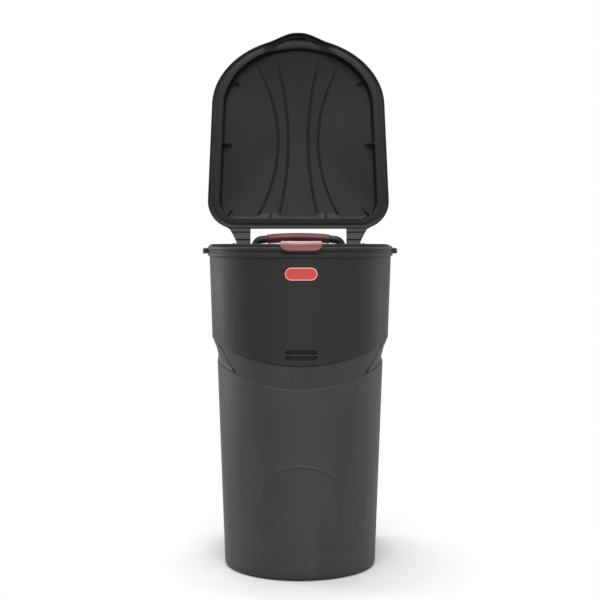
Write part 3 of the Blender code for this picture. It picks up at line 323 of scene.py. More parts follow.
# Camera, lamps and floor
CAMERA_LENS = 78.25
CAMERA_PLACE = (-0.0503, -4.139, 1.0836)
CAMERA_PITCH = 1.315
CAMERA_YAW = 0.70
CAMERA_SHIFT = (0.0, -0.0833)
WORLD_LIGHT = 0.22
FLOOR_RADIUS = 16.0
FLOOR_TONE = (0.60, 0.60, 0.60)
FLOOR_NEAR = 0.42
FLOOR_FAR = 0.78
LAMPS = (
    ("key", (-2.6, -3.2, 4.2), (0, 0, 0.8), (2.4, 2.4), 12.0),
    ("fill", (3.4, -2.6, 2.4), (0, 0, 0.8), (2.2, 2.2), 10.0),
    ("top", (0, -0.7, 4.6), (0, -0.1, 0), (3.0, 3.0), 135.0),
    ("top_rear", (0, 1.5, 4.4), (0, 0, 0), (2.4, 1.6), 125.0),
    ("left_strip", (-3.2, 1.2, 1.4), (0, 0, 0.8), (1.2, 2.6), 85.0),
    ("right_strip", (3.2, 0.9, 1.0), (0, 0, 0.6), (1.0, 2.0), 30.0),
    ("lid_glow", (0.0, -3.2, 4.3), (0, 0.4, 1.1), (2.6, 0.9), 165.0),
    ("low_front", (0.2, -3.4, 0.45), (0, 0, 0.45), (2.6, 0.7), 22.0),
)


def between(low, high, share):
    return low + (high - low) * share


def across(side, near, far):
    """Two places along X at one side, the lower first."""
    return sorted((side * near, side * far))


def smooth(value, low, high):
    """A soft step from 0 at low to 1 at high."""
    t = min(max((value - low) / (high - low), 0), 1)
    return t * t * (3 - 2 * t)


def window(value, rise, fall, margin=0):
    """1 between two soft steps and 0 beyond them. A margin widens it."""
    return smooth(value + margin, *rise) * (1 - smooth(value - margin, *fall))


def circle(centre, radius, steps, start=0.0, turn=360.0):
    """Points round a circle, or along an arc of it with both ends."""
    last = steps if turn == 360.0 else steps - 1
    angles = [math.radians(start + turn * i / last) for i in range(steps)]
    return [(centre[0] + radius * math.cos(a), centre[1] + radius * math.sin(a)) for a in angles]


def plan(size, corner, arch, steps):
    """D-shaped outline: straight rear, round corners, tapering sides and an arched front."""
    half, front, rear = size
    rear_steps, corner_steps, side_steps, arch_steps = steps
    right = [((half - corner) * i / rear_steps, rear) for i in range(rear_steps)]
    right += circle((half - corner, rear - corner), corner, corner_steps + 1, 90.0, -90.0)
    side_end = arch - front
    side_start = rear - corner
    right += [(half, between(side_start, side_end, i / side_steps)) for i in range(1, side_steps)]
    for i in range(arch_steps + 1):
        angle = math.pi / 2 * (1 - (1 - i / arch_steps) ** ARCH_POWER)
        right.append((half * math.cos(angle), side_end - arch * math.sin(angle)))
    right = [(x * (1 + SIDE_TAPER_SHARE * y / half), y) for x, y in right]
    return right + [(-x, y) for x, y in right[-2:0:-1]]


def mesh_object(name, points, faces, angle=35.0):
    mesh = bpy.data.meshes.new(name)
    mesh.from_pydata([tuple(p) for p in points], [], faces)
    work = bmesh.new()
    work.from_mesh(mesh)
    bmesh.ops.recalc_face_normals(work, faces=work.faces)
    work.to_mesh(mesh)
    work.free()
    obj = bpy.data.objects.new(name, mesh)
    bpy.context.scene.collection.objects.link(obj)
    obj.data.shade_smooth()
    obj.data.set_sharp_from_angle(angle=math.radians(angle))
    return obj


def loft(name, rings, tip=None, start_tip=None, angle=35.0, closed=False):
    """Rings of equal count joined by quads.

    Each end has a flat face or a fan to its tip, unless the last ring joins the first, as in a tyre.
    """
    count = len(rings[0])
    points = [p for ring in rings for p in ring]
    steps = [(i, (i + 1) % count) for i in range(count)]
    faces = []
    for level in range(len(rings) if closed else len(rings) - 1):
        low = level * count
        high = (level + 1) % len(rings) * count
        faces += [[low + i, low + j, high + j, high + i] for i, j in steps]
    ends = () if closed else ((start_tip, 0), (tip, len(points) - count))
    for point, first in ends:
        if point is None:
            faces.append([first + i for i in range(count)])
        else:
            points.append(point)
            faces += [[first + i, first + j, len(points) - 1] for i, j in steps]
    return mesh_object(name, points, faces, angle)


def combine(target, other, operation):
    """Applies a Boolean of target with other, then removes other."""
    step = target.modifiers.new("step", "BOOLEAN")
    step.operation = operation
    step.solver = "EXACT"
    step.object = other
    bpy.context.view_layer.update()
    graph = bpy.context.evaluated_depsgraph_get()
    made = bpy.data.meshes.new_from_object(target.evaluated_get(graph))
    target.modifiers.clear()
    target.data = made
    bpy.data.objects.remove(other, do_unlink=True)


def soften(obj, width, segments=2, angle=30.0):
    """Rounds the sharp edges of a small moulded piece."""
    bevel = obj.modifiers.new("round", "BEVEL")
    bevel.width = width
    bevel.segments = segments
    bevel.limit_method = "ANGLE"
    bevel.angle_limit = math.radians(angle)
    bevel.harden_normals = True
    return obj


def prism(name, outline, low, high, axis):
    """An outline of 2D points drawn out along axis X, Y or Z from low to high."""
    place = {
        "X": lambda u, v, w: (w, u, v),
        "Y": lambda u, v, w: (u, w, v),
        "Z": lambda u, v, w: (u, v, w),
    }[axis]
    return loft(name, [[place(u, v, w) for u, v in outline] for w in (low, high)])


def box(name, low, high):
    outline = [(low[0], low[1]), (high[0], low[1]), (high[0], high[1]), (low[0], high[1])]
    return prism(name, outline, low[2], high[2], "Z")


def rod(name, radius, low, high, y, z, steps=64):
    return prism(name, circle((y, z), radius, steps), low, high, "X")


def drill(obj, radius, ends, y, z, steps=32):
    """A round hole along X, with room for what runs in it."""
    combine(obj, rod("hole", radius + GAP, *ends, y, z, steps), "DIFFERENCE")


# Can

def band_profile(rise):
    """Swell of the shoulder band over its rise: a straight slope, a fine groove and an edge."""
    for (low, a), (high, b) in zip(BAND_SHARES, BAND_SHARES[1:]):
        if rise <= high:
            return between(a, b, (rise - low) / (high - low))
    return 1


def wall_size(z):
    """Half width, front and rear reach of the wall at a height on the side."""
    if z <= LOWER_TOP_Z:
        share = (z - BASE_EDGE) / (LOWER_TOP_Z - BASE_EDGE)
        return [between(a, b, share) for a, b in zip(BASE, LOWER_TOP)]
    if z <= SHOULDER_Z:
        share = band_profile((z - LOWER_TOP_Z) / (SHOULDER_Z - LOWER_TOP_Z))
        return [between(a, b, share) for a, b in zip(LOWER_TOP, SHOULDER)]
    start = SHOULDER_Z + UPPER_START
    share = max(z - start, 0) / (UPPER_TOP - start)
    return [between(a, b, min(share, 1)) for a, b in zip(SHOULDER, UPPER)]


def inner_size(z):
    """The smallest section near a height, so that the wall keeps its thickness at a ledge."""
    near = [wall_size(z + step) for step in (-LEDGE_REACH, 0, LEDGE_REACH)]
    return [min(sizes) for sizes in zip(*near)]


def dip_share(z):
    """Share of the shoulder's dip at the front, at a height on the side."""
    if z < LOWER_TOP_Z:
        return (z - BASE_EDGE) / (LOWER_TOP_Z - BASE_EDGE)
    return 1 - min(max(z - SHOULDER_Z, 0) / (UPPER_TOP - SHOULDER_Z), 1)


def side_recess(y, z, margin):
    """Depth of a side's recess, and of the slit at its front end."""
    height = RECESS_HIGH - RECESS_LOW
    rise = (z - RECESS_LOW) / height
    front = between(RECESS_FRONT_LOW, RECESS_FRONT_HIGH, rise)
    start = (front - RECESS_FRONT_SOFT, front + RECESS_FRONT_SOFT)
    inside = window(z, RECESS_SILL, RECESS_LINTEL, margin) * window(y, start, RECESS_REAR, margin)
    slit = window(rise, *SLIT_RISE_SHARES, margin / height)
    slit *= 1 - smooth(abs(y - front) - margin, *SLIT_SIDE)
    return RECESS_DEPTH * inside + SLIT_DEPTH * slit


def front_slot(x, z, margin):
    """Depth of the front slot. The bar across it is on the outer face alone, where the margin is 0."""
    off = abs(z - SLOT_Z)
    past = (max(abs(x) - SLOT_HALF_WIDTH + SLOT_CORNER, 0), max(off - SLOT_HALF_HEIGHT + SLOT_CORNER, 0))
    inside = 1 - smooth(math.hypot(*past) - SLOT_CORNER - margin, -SLOT_SOFT, SLOT_SOFT)
    bar = 0 if margin else SLOT_BAR_SHARE * (1 - smooth(off, *SLOT_BAR_STEP))
    deep = 1 if margin else smooth(off, *SLOT_DEEP_STEP)
    return (SLOT_DEPTH * (1 - bar) + SLOT_MORE_DEPTH * deep) * inside


def foot_arch(x, z):
    """Rise of the ridge of the foot's arch, less what the field inside it lies lower."""
    middle = FOOT_ARCH_TOP - FOOT_ARCH_HALF / FOOT_ARCH_SQUASH
    inward = FOOT_ARCH_HALF - math.hypot(x, max(z - middle, 0) * FOOT_ARCH_SQUASH)
    field = FOOT_ARCH_SINK_SHARE * smooth(inward, *FOOT_ARCH_FIELD)
    return FOOT_ARCH_RISE * (window(inward, *FOOT_ARCH_RIDGE) - field) * smooth(z, *FOOT_ARCH_FADE)


def pressed(x, y, z, side_z, margin):
    """How far the wall stands out at a point, or in where it is below 0."""
    out = -side_recess(y, side_z, margin)
    if y < 0:
        out += foot_arch(x, z) - front_slot(x, z, margin)
    return out


def can_ring(z, size, grow=0, margin=None):
    """One section of the wall at a height on the side. With a margin it has the pressed features."""
    half, front = size[:2]
    dip = SHOULDER_DIP * dip_share(z)
    unit = 0.001
    flat, wide = (plan([s + g for s in size], CORNER + g, ARCH_DEPTH + g, CAN_STEPS)
                  for g in (grow, grow + unit))
    ring = []
    for (x, y), (wx, wy) in zip(flat, wide):
        lift = min((x / half) ** 2, 1) if y < ARCH_DEPTH - front else 1
        height = z - dip * (1 - lift)
        out = 0 if margin is None else pressed(x, y, height, z, margin) / unit
        ring.append((x + (wx - x) * out, y + (wy - y) * out, height))
    return ring


def ring_heights(stretches):
    heights = []
    for low, high, gap in stretches:
        count = max(round((high - low) / gap), 1)
        heights += [between(low, high, i / count) for i in range(count)]
    return heights + [UPPER_TOP]


def can_shell():
    """The can's wall and floor, with the step for the axle and the wells for the wheels."""
    outer = [can_ring(BASE_EDGE * s, BASE, -BASE_TUCK * (1 - s) ** BASE_ROUND_POWER)
             for s in BASE_ROUND_SHARES]
    outer += [can_ring(z, wall_size(z), 0, 0) for z in ring_heights(OUTER_STRETCHES)]
    outer += [can_ring(z, UPPER, out) for z, out in RIM]
    inner = [can_ring(FLOOR_THICK, BASE, -WALL - BASE_EDGE / 2)]
    inner += [can_ring(z, inner_size(z), -WALL, INNER_MARGIN) for z in ring_heights(INNER_STRETCHES)]
    inner += [can_ring(RIM_TOP + rise, UPPER, out - WALL) for rise, out in MOUTH]
    shell = loft("can_shell", outer)
    cavity = loft("cavity", inner)
    for body, wall in ((shell, 0), (cavity, WALL)):
        cutter = box("step", (-CUT_END[0], STEP_Y - wall, -OVERRUN), (*CUT_END, STEP_Z + wall))
        for side in (-1, 1):
            ends = across(side, WELL_FACE - wall, WELL_END)
            combine(cutter, rod("well", WHEEL_ROOM_R + wall, *ends, AXLE_Y, WHEEL_R, 72), "UNION")
        combine(body, cutter, "DIFFERENCE")
    combine(shell, cavity, "DIFFERENCE")
    shell.data.shade_smooth()
    shell.data.set_sharp_from_angle(angle=math.radians(32))
    return shell


# Lid

def hood_shares(x, y):
    """Shares of the hood's reach to the front and of its rise at a point of the lid's edge."""
    if y > LID_ARCH - LID[1]:
        return 0, 0
    return [smooth(half - abs(x), 0, half - flat) for half, flat in HOOD_WIDTHS]


def hood_slot(x, y):
    """1 over the finger slot under the hood, 0 beside it."""
    return 1 - smooth(abs(x), *HOOD_SLOT_SIDE) if y < 0 else 0


def lid_ring(height, grow, inset, hood):
    """One section of the closed lid: inset runs from its edge, 0, to the dome's foot, 1."""
    size = [s + grow - f * inset for s, f in zip(LID, FLANGE)]
    corner = LID_CORNER + grow - FLANGE[2] * inset
    arch = LID_ARCH + grow - FLANGE[1] * inset
    ring = []
    for x, y in plan(size, corner, arch, LID_STEPS):
        reach, rise = hood_shares(x, y)
        ring.append((x, y - HOOD_REACH * reach * (1 - inset), height + HOOD_RISE * rise * hood))
    return ring


def band_lines(y):
    """How far the inner and the outer hourglass line are from the lid's middle, at a place along it."""
    t = (y - between(-LID[1], LID[2], LINE_WAIST_SHARE)) / (LID[1] + LID[2])
    return [LID[0] * (waist + spread * t * t) for waist, spread in LINE_SHARES]


def band_lift(x, y):
    """Height of the hourglass bands over the crown at a point."""
    low, high = band_lines(y)
    inside = window(abs(x), (low - LINE_HALF, low + LINE_HALF), (high - LINE_HALF, high + LINE_HALF))
    aside = min(abs(abs(x) - low), abs(abs(x) - high)) / LINE_HALF
    ends = window(y, [d - LID[1] for d in BAND_FRONT], [LID[2] - d for d in BAND_REAR])
    return (BAND_RISE * inside + LINE_DEPTH * (1 - smooth(aside, *LINE_SIDE_SHARES))) * ends


def lid_skin(grow, drop):
    """Rings from the skirt's edge to the crown: the outer face, or with a drop the inner one."""
    flange = SEAT_Z + LID_WALL - drop
    dome = flange + DOME_RISE
    bend = EDGE_BEND + drop * 0.1
    bead = BEAD_RISE - drop * 0.2
    skirt = ((SEAT_Z - SKIRT_DEPTH, 0, 0), (SEAT_Z - SKIRT_DEPTH * 0.4, 0, 0.3), (flange - bend, 0, 0.96),
             (flange - bend * 0.3, bend * 0.3, 0.99), (flange, bend, 1))
    rings = [lid_ring(z, grow - inward, 0, hood) for z, inward, hood in skirt]
    for inset, lift in BEAD_SHARES:
        ring = lid_ring(flange + bead * lift, grow, inset, 1)
        if lift == 1:
            ring = [(x, y, z + HOOD_SLOT_DEPTH * hood_slot(x, y)) for x, y, z in ring]
        rings.append(ring)
    for share, slope, hood in DOME_SHARES:
        rings.append(lid_ring(between(flange, dome, share), grow - DOME_SLOPE * slope, 1, hood))
    edge = rings[-1]
    centre_y = sum(y for _, y, _ in edge) / len(edge)
    for i in range(1, CROWN_RINGS):
        share = (1 - i / CROWN_RINGS) ** CROWN_POWER
        ring = []
        for x, y, z in edge:
            cx, cy = x * share, between(centre_y, y, share)
            ring.append((cx, cy, z + CROWN_RISE * (1 - share**2) + band_lift(cx, cy)))
        rings.append(ring)
    return rings, (0, centre_y, dome + CROWN_RISE)


def open_lid(obj):
    """Turns a piece made for the closed lid about the hinge to where the lid rests open."""
    turn = Matrix.Translation(HINGE) @ Matrix.Rotation(-OPEN_TURN, 4, "X") @ Matrix.Translation(-HINGE)
    obj.data.transform(turn)
    return obj


def lid_shell():
    outer, outer_tip = lid_skin(0, 0)
    inner, inner_tip = lid_skin(-LID_WALL, LID_WALL)
    return open_lid(loft("lid_shell", inner[::-1] + outer, outer_tip, inner_tip, 40.0))


def gussets():
    """Ribs in the foot of the dome, each with a straight edge that slopes up to the crown."""
    made = []
    top = SEAT_Z + DOME_RISE - GUSSET_DROP
    for tag, side in SIDES:
        for i, (out, along, angle, length) in enumerate(GUSSETS):
            x = side * (LID[0] - FLANGE[0]) * out
            y = along * (LID[2] - FLANGE[2] if along > 0 else LID[1] - FLANGE[1])
            outline = [(length, top), (length * 0.4, SEAT_Z + GUSSET_LOW), (0.004, SEAT_Z + 0.0015)]
            outline += [(-0.001, SEAT_Z + 0.001), (-0.001, SEAT_Z + GUSSET_LOW), (GUSSET_LOW, top)]
            plate = prism(f"gusset_{tag}_{i + 1}", outline, -GUSSET_HALF, GUSSET_HALF, "Y")
            turn = math.radians(180.0 + angle if side > 0 else 360.0 - angle)
            plate.data.transform(Matrix.Translation((x, y, 0)) @ Matrix.Rotation(turn, 4, "Z"))
            made.append(soften(open_lid(plate), FINE_EDGE, 2))
    return made


# Small rigid pieces

def fitted(obj, body, look, slot, *nodes):
    """Gives a piece its material and body, and hides the nodes that it stands for. The slot is not used."""
    obj.data.materials.clear()
    obj.data.materials.append(look)
    if nodes:
        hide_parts(*nodes)
    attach(obj, body)
    return obj


def side_grip(side, tag):
    """Hollow grip under the rim at one side, open below."""
    out = UPPER[0] + LIP_OUT + SIDE_GRIP_OUT
    root = UPPER[0] - WALL / 2
    half = SIDE_GRIP_LENGTH / 2
    low = SIDE_GRIP_TOP - SIDE_GRIP_DEPTH
    corner = SIDE_GRIP_CORNER
    line = [(root, -half)] + circle((out - corner, corner - half), corner, 14, -90.0, 90.0)
    outline = [(side * x, y) for x, y in line + [(x, -y) for x, y in line[::-1]]]
    grip = prism("side_grip_" + tag, outline, low, SIDE_GRIP_TOP, "Z")
    xs = across(side, root - OVERRUN, out - SIDE_GRIP_WALL)
    inner = half - SIDE_GRIP_WALL
    hollow = box("hollow", (xs[0], -inner, low - OVERRUN), (xs[1], inner, SIDE_GRIP_TOP - SIDE_GRIP_WALL))
    combine(grip, hollow, "DIFFERENCE")
    return soften(grip, 0.0014, 3)


def lug_and_stop(side, tag):
    """Outer hinge lug, stop block and handle pad on the rear wall."""
    inner = ARM_OUT + LUG_GAP
    outer = inner + LUG_THICK
    sunk = CORNER - math.sqrt(CORNER**2 - (inner - UPPER[0] + CORNER) ** 2)
    root = UPPER[2] - sunk - WALL / 2
    end = circle((HINGE.y, HINGE.z), LUG_R, 40, -60.0, 270.0)
    outline = [(root, HINGE.z - LUG_DROP)] + end + [(root, UPPER_TOP)]
    lug = prism("hinge_lug_" + tag, outline, *across(side, inner, outer), "X")
    drill(lug, PIN_R, across(side, inner - OVERRUN, outer + OVERRUN), HINGE.y, HINGE.z)
    face = HINGE.y - KNUCKLE_R - GAP
    low = STOP_TOP - STOP_THICK
    block = [(root, low), (face, low), (face, STOP_TOP), (root, STOP_TOP)]
    stop = prism("lid_stop_" + tag, block, *across(side, ARM_IN + LUG_GAP, inner + LUG_THICK / 2), "X")
    xs = across(side, LEG_X - FOOT_HALF_WIDTH, LEG_X + FOOT_HALF_WIDTH)
    start = (xs[0], UPPER[2] - WALL / 2, FOOT_Z - FOOT_HALF_HEIGHT)
    pad = box("handle_pad_" + tag, start, (xs[1], PAD_Y, FOOT_Z + FOOT_HALF_HEIGHT))
    return [soften(piece, 0.0012, 3) for piece in (lug, stop, pad)]


def hangers():
    """The four plates under the can that carry the axle."""
    places = []
    for side in (-1, 1):
        places.append(across(side, HANGER_OUT - HANGER_THICK, HANGER_OUT))
        places.append(across(side, HANGER_INNER_X, HANGER_INNER_X + HANGER_THICK))
    top = STEP_Z + WALL / 2
    outline = circle((AXLE_Y, WHEEL_R), HANGER_R, 24, 180.0, 180.0)
    outline += [(AXLE_Y + HANGER_R, top), (AXLE_Y - HANGER_R, top)]
    made = []
    for i, (low, high) in enumerate(places):
        plate = prism(f"axle_hanger_{i + 1}", outline, low, high, "X")
        drill(plate, AXLE_R, (low - OVERRUN, high + OVERRUN), AXLE_Y, WHEEL_R)
        made.append(soften(plate, 0.0010, 2))
    return made


def arm_plan(side):
    """Plan of a closed lid's arm, which flares towards the lid's edge."""
    reach = HINGE.y - LID[2]
    root = LID[2] - FLANGE[2]
    flare = LID[0] - ARM_OUT
    back = HINGE.y + TOE_DROP + OVERRUN
    points = [(ARM_OUT, back)]
    points += [(ARM_OUT + out * flare, HINGE.y + along * reach) for out, along in ARM_FLARE_SHARES]
    points += [(ARM_OUT + ARM_ROOT_SHARE * flare, root), (ARM_IN, root), (ARM_IN, back)]
    return [(side * x, y) for x, y in points]


def arm_side_view():
    """Side view of a closed lid's arm: plate, knuckle and the toe that meets the stop."""
    root = LID[2] - FLANGE[2] * SKIRT_SHARE
    toe = []
    for forward in (-KNUCKLE_R, KNUCKLE_R):
        y = forward * math.cos(OPEN_TURN) + TOE_DROP * math.sin(OPEN_TURN)
        z = forward * math.sin(OPEN_TURN) - TOE_DROP * math.cos(OPEN_TURN)
        toe.append((HINGE.y + y, HINGE.z + z))
    bottom = circle((HINGE.y, HINGE.z), KNUCKLE_R, 14, -125.0, 90.0)
    under = [(root, SEAT_Z + LID_WALL / 2), (LID[2] - LID_WALL * 2, SEAT_Z + LID_WALL / 2)]
    under += [(LID[2] - LID_WALL, SEAT_Z - SKIRT_DEPTH * SKIRT_SHARE)]
    top_z = SEAT_Z + ARM_THICK - GAP * 2
    top = [(HINGE.y, HINGE.z + KNUCKLE_R), (LID[2] + ARM_THICK, top_z), (root, top_z)]
    return under + bottom + toe + top


def arm(side, tag):
    """Hinge arm of the lid with its two cross grooves."""
    piece = prism("lid_arm_" + tag, arm_plan(side), HINGE.z - TOE_DROP - OVERRUN, RIM_TOP + DOME_RISE, "Z")
    low_x, high_x = across(side, ARM_IN - GAP, LID[0])
    combine(piece, prism("arm_side", arm_side_view(), low_x, high_x, "X"), "INTERSECT")
    drill(piece, PIN_R, across(side, ARM_IN - OVERRUN, ARM_OUT + OVERRUN), HINGE.y, HINGE.z)
    for share in ARM_GROOVE_SHARES:
        y = between(LID[2], HINGE.y, share)
        under = between(SEAT_Z - SKIRT_DEPTH * SKIRT_SHARE, HINGE.z - KNUCKLE_R * ARM_ROOT_SHARE, share)
        low = (low_x - GAP, y - ARM_GROOVE_HALF, under - ARM_THICK)
        high = (high_x + GAP, y + ARM_GROOVE_HALF, under + ARM_GROOVE_DEPTH)
        combine(piece, box("groove", low, high), "DIFFERENCE")
    return open_lid(soften(piece, FINE_EDGE, 2))


# Handles

def bar_height(x):
    return BAR_Z - BAR_SAG * (x / LEG_X) ** 2


def handle_path():
    """Centre line of the handle's bar and legs, from the left foot to the right."""
    bar_end = LEG_X - CORNER_BEND
    right = [Vector((bar_end * i / 12, HINGE.y, bar_height(bar_end * i / 12))) for i in range(13)]
    corner = (bar_end, bar_height(bar_end) - CORNER_BEND)
    turned_down = circle(corner, CORNER_BEND, 12, CORNER_TURN, -CORNER_TURN)
    right += [Vector((x, HINGE.y, z)) for x, z in turned_down]
    bend = (HINGE.y - LEG_BEND, FOOT_Z + LEG_BEND)
    right += [Vector((LEG_X, y, z)) for y, z in circle(bend, LEG_BEND, 12, 0.0, -90.0)]
    right.append(Vector((LEG_X, PAD_Y + GAP, FOOT_Z)))
    return [Vector((-p.x, p.y, p.z)) for p in right[:0:-1]] + right


def tube(name, path, radii, sides):
    """A round tube along a path, each ring square to the path's own direction."""
    rings = []
    side_way = Vector((0, 0, 1))
    for i, point in enumerate(path):
        way = (path[min(i + 1, len(path) - 1)] - path[max(i - 1, 0)]).normalized()
        side_way = (side_way - way * side_way.dot(way)).normalized()
        other = way.cross(side_way)
        ring = circle((0, 0), radii[i], sides)
        rings.append([point + side_way * u + other * v for u, v in ring])
    return loft(name, rings)


def rear_handle():
    """Bent bar, and at each leg the boss round the pin and the foot on its pad."""
    path = handle_path()
    bar = tube("rear_handle_bar", path, [BAR_R] * len(path), 32)
    made = [bar]
    for tag, side in SIDES:
        hole = across(side, LEG_X - BAR_R * 2, LEG_X + BAR_R * 2)
        drill(bar, PIN_R, hole, HINGE.y, HINGE.z)
        ends = across(side, LEG_X - BOSS_HALF, LEG_X + BOSS_HALF)
        boss = rod("handle_boss_" + tag, BOSS_R, *ends, HINGE.y, HINGE.z, 40)
        drill(boss, PIN_R, hole, HINGE.y, HINGE.z)
        low = (side * LEG_X - FOOT_HALF_WIDTH, PAD_Y + GAP, FOOT_Z - FOOT_HALF_HEIGHT)
        high = (side * LEG_X + FOOT_HALF_WIDTH, PAD_Y + GAP + FOOT_THICK, FOOT_Z + FOOT_HALF_HEIGHT)
        foot = box("handle_foot_" + tag, low, high)
        made += [soften(boss, FINE_EDGE, 2), soften(foot, 0.0025, 4)]
    return made


def rear_grip():
    """Sleeve on the bar, with rounded ends and a shallow ring near each."""
    path = []
    radii = []
    for i in range(GRIP_STATIONS + 1):
        x = GRIP_HALF * math.sin(math.pi / 2 * (2 * i / GRIP_STATIONS - 1))
        path.append(Vector((x, HINGE.y, bar_height(x))))
        end = min((GRIP_HALF - abs(x)) / GRIP_END, 1)
        round_off = math.sqrt(max(1 - (1 - end) ** 2, 0))
        radii.append(between(BAR_R + GAP, GRIP_R, round_off) - GRIP_RING_DEPTH * window(abs(x), *GRIP_RING))
    return tube("rear_grip_sleeve", path, radii, 48)


def front_line(x, half, front):
    """Distance forward of the arched front at a place across it."""
    share = x / half / (1 - SIDE_TAPER_SHARE * front / half)
    return front - ARCH_DEPTH * (1 - math.sqrt(1 - share**2))


def front_grip():
    """A saddle that laps the front rim, narrower towards its lower front edge.

    Each point of the section has its place out from the wall, its height and its share of the width.
    """
    half = UPPER[0] + LIP_OUT
    front = UPPER[1] + LIP_OUT
    fit = FRONT_GRIP_FIT
    lip = LIP_OUT + WALL + fit
    back = -lip - FRONT_GRIP_WALL
    roof = RIM_TOP + GAP
    low = FRONT_GRIP_LOW
    deep = low - FRONT_GRIP_BACK
    proud = FRONT_GRIP_PROUD
    top = FRONT_GRIP_TOP
    section = [(GAP, low, 0.66), (proud * 0.72, low, 0.66)]
    section += [(proud * out, between(low, roof, up), wide) for out, up, wide in FRONT_GRIP_FACE]
    section += [(proud * out, between(roof, top, up), wide) for out, up, wide in FRONT_GRIP_BROW]
    for out, up, wide in FRONT_GRIP_CROWN:
        section.append((between(proud, back, out), between(roof, top, up), wide))
    section += [(back, deep + fit, 0.9), (back + fit, deep, 0.895), (-lip - fit, deep, 0.895)]
    section += [(-lip, deep + fit, 0.9), (-lip, roof, 1), (GAP, roof, 1)]
    rings = []
    for i in range(FRONT_GRIP_STATIONS + 1):
        x = FRONT_GRIP_HALF * (2 * i / FRONT_GRIP_STATIONS - 1)
        rings.append([(x * wide, -front_line(x * wide, half, front) - out, z) for out, z, wide in section])
    return soften(loft("front_grip_saddle", rings), 0.0016, 4, 40.0)


def badge_outlines(layers):
    """Outlines with round ends, each a step out from the front wall and in from the plate's edge."""
    wall_low = between(SHOULDER_Z, UPPER_TOP, PLATE_WALL_SHARE) - SHOULDER_DIP * PLATE_DIP_SHARE
    share = (PLATE_Z - wall_low) / (UPPER_TOP - wall_low)
    half = between(SHOULDER[0], UPPER[0], share)
    front = between(SHOULDER[1], UPPER[1], share)
    lean = (UPPER[1] - SHOULDER[1]) / (UPPER_TOP - wall_low)
    rings = []
    for out, inset in layers:
        wide = PLATE_HALF_WIDTH - inset
        tall = PLATE_HALF_HEIGHT - inset
        right = circle((wide - tall, 0), tall, 24, -90.0, 180.0)
        left = circle((tall - wide, 0), tall, 24, 90.0, 180.0)
        straight = [(between(wide - tall, tall - wide, i / 16), tall) for i in range(1, 16)]
        outline = right + straight + left + [(-x, -z) for x, z in straight]
        rings.append([(x, -front_line(x, half, front) - out - lean * z, PLATE_Z + z) for x, z in outline])
    return rings


def badge_plate():
    """A bare plate that follows the front wall, and its raised pale edge."""
    plate = loft("badge_plate_bare", badge_outlines(PLATE_FACE), angle=50.0)
    return plate, loft("badge_edge", badge_outlines(PLATE_EDGE), angle=50.0, closed=True)


# Wheels

def turned(name, profile, side, steps, angle=35.0):
    """A closed section of (distance along X, radius) points, turned about the axle."""
    ways = circle((0, 0), 1, steps)
    rings = [[(side * x, AXLE_Y + r * u, WHEEL_R + r * v) for x, r in profile] for u, v in ways]
    return loft(name, rings, angle=angle, closed=True)


def mirrored(profile):
    """A wheel's section from the half on its inner side."""
    return profile + [(2 * WHEEL_MIDDLE - x, r) for x, r in profile[::-1]]


def wheel_disc(side, tag):
    """Disc with a dished web and round openings."""
    web = WHEEL_MIDDLE - WEB / 2
    edge = WHEEL_IN + WEB / 2
    profile = [(WHEEL_IN, AXLE_R + GAP), (WHEEL_IN, HUB_R * HUB_TAPER_SHARE), (web, HUB_R)]
    profile += [(web, TYRE_BED - RIM_WALL), (edge, TYRE_BED - RIM_WALL / 2), (edge, TYRE_BED)]
    disc = turned("wheel_disc_" + tag, mirrored(profile), side, 120)
    ring = between(HUB_R, TYRE_BED - RIM_WALL, SPOKE_RING_SHARE)
    for y, z in circle((AXLE_Y, WHEEL_R), ring, SPOKES):
        opening = rod("opening", SPOKE_HOLE_R, *across(side, WHEEL_IN, WHEEL_OUT), y, z, 48)
        combine(disc, opening, "DIFFERENCE")
    return soften(disc, FINE_EDGE, 2)


def wheel_ribs(side, tag):
    """Ribs on the web's outer face, one between each two openings."""
    ribs = []
    high = (RIB_HALF, TYRE_BED - RIM_WALL * RIB_SUNK_SHARE, WHEEL_WIDTH * RIB_HEIGHT_SHARE)
    foot = Matrix.Translation((side * (WHEEL_MIDDLE + WEB / 2 * RIB_SUNK_SHARE), AXLE_Y, WHEEL_R))
    lean = Matrix.Rotation(math.radians(90.0 * side), 4, "Y")
    for i in range(SPOKES):
        rib = box(f"wheel_rib_{tag}_{i + 1}", (-RIB_HALF, HUB_R * RIB_SUNK_SHARE, 0), high)
        turn = Matrix.Rotation(2 * math.pi * (i + 0.5) / SPOKES, 4, "X")
        rib.data.transform(foot @ turn @ lean)
        ribs.append(soften(rib, 0.0006, 2))
    return ribs


def tyre(side, tag):
    """Tyre with rounded shoulders and grooves round its tread."""
    profile = [(WHEEL_IN + WEB / 2, TYRE_BED + GAP), (WHEEL_IN + 0.0008, TYRE_BED + TYRE_THICK * 0.2)]
    profile += [(WHEEL_IN, TYRE_BED + TYRE_THICK * 0.45), (WHEEL_IN + TREAD_EDGE * 0.15, WHEEL_R * 0.974)]
    profile += [(WHEEL_IN + TREAD_EDGE * 0.4, WHEEL_R * 0.986), (WHEEL_IN + TREAD_EDGE, WHEEL_R)]
    pitch = (WHEEL_WIDTH - TREAD_EDGE * 2) / TREAD_GROOVES
    for i in range(TREAD_GROOVES // 2):
        x = WHEEL_IN + TREAD_EDGE + pitch * (i + 0.5)
        profile += [(x + aside, WHEEL_R - down) for aside, down in TREAD_GROOVE]
    return turned("tyre_ring_" + tag, mirrored(profile), side, 120, 40.0)


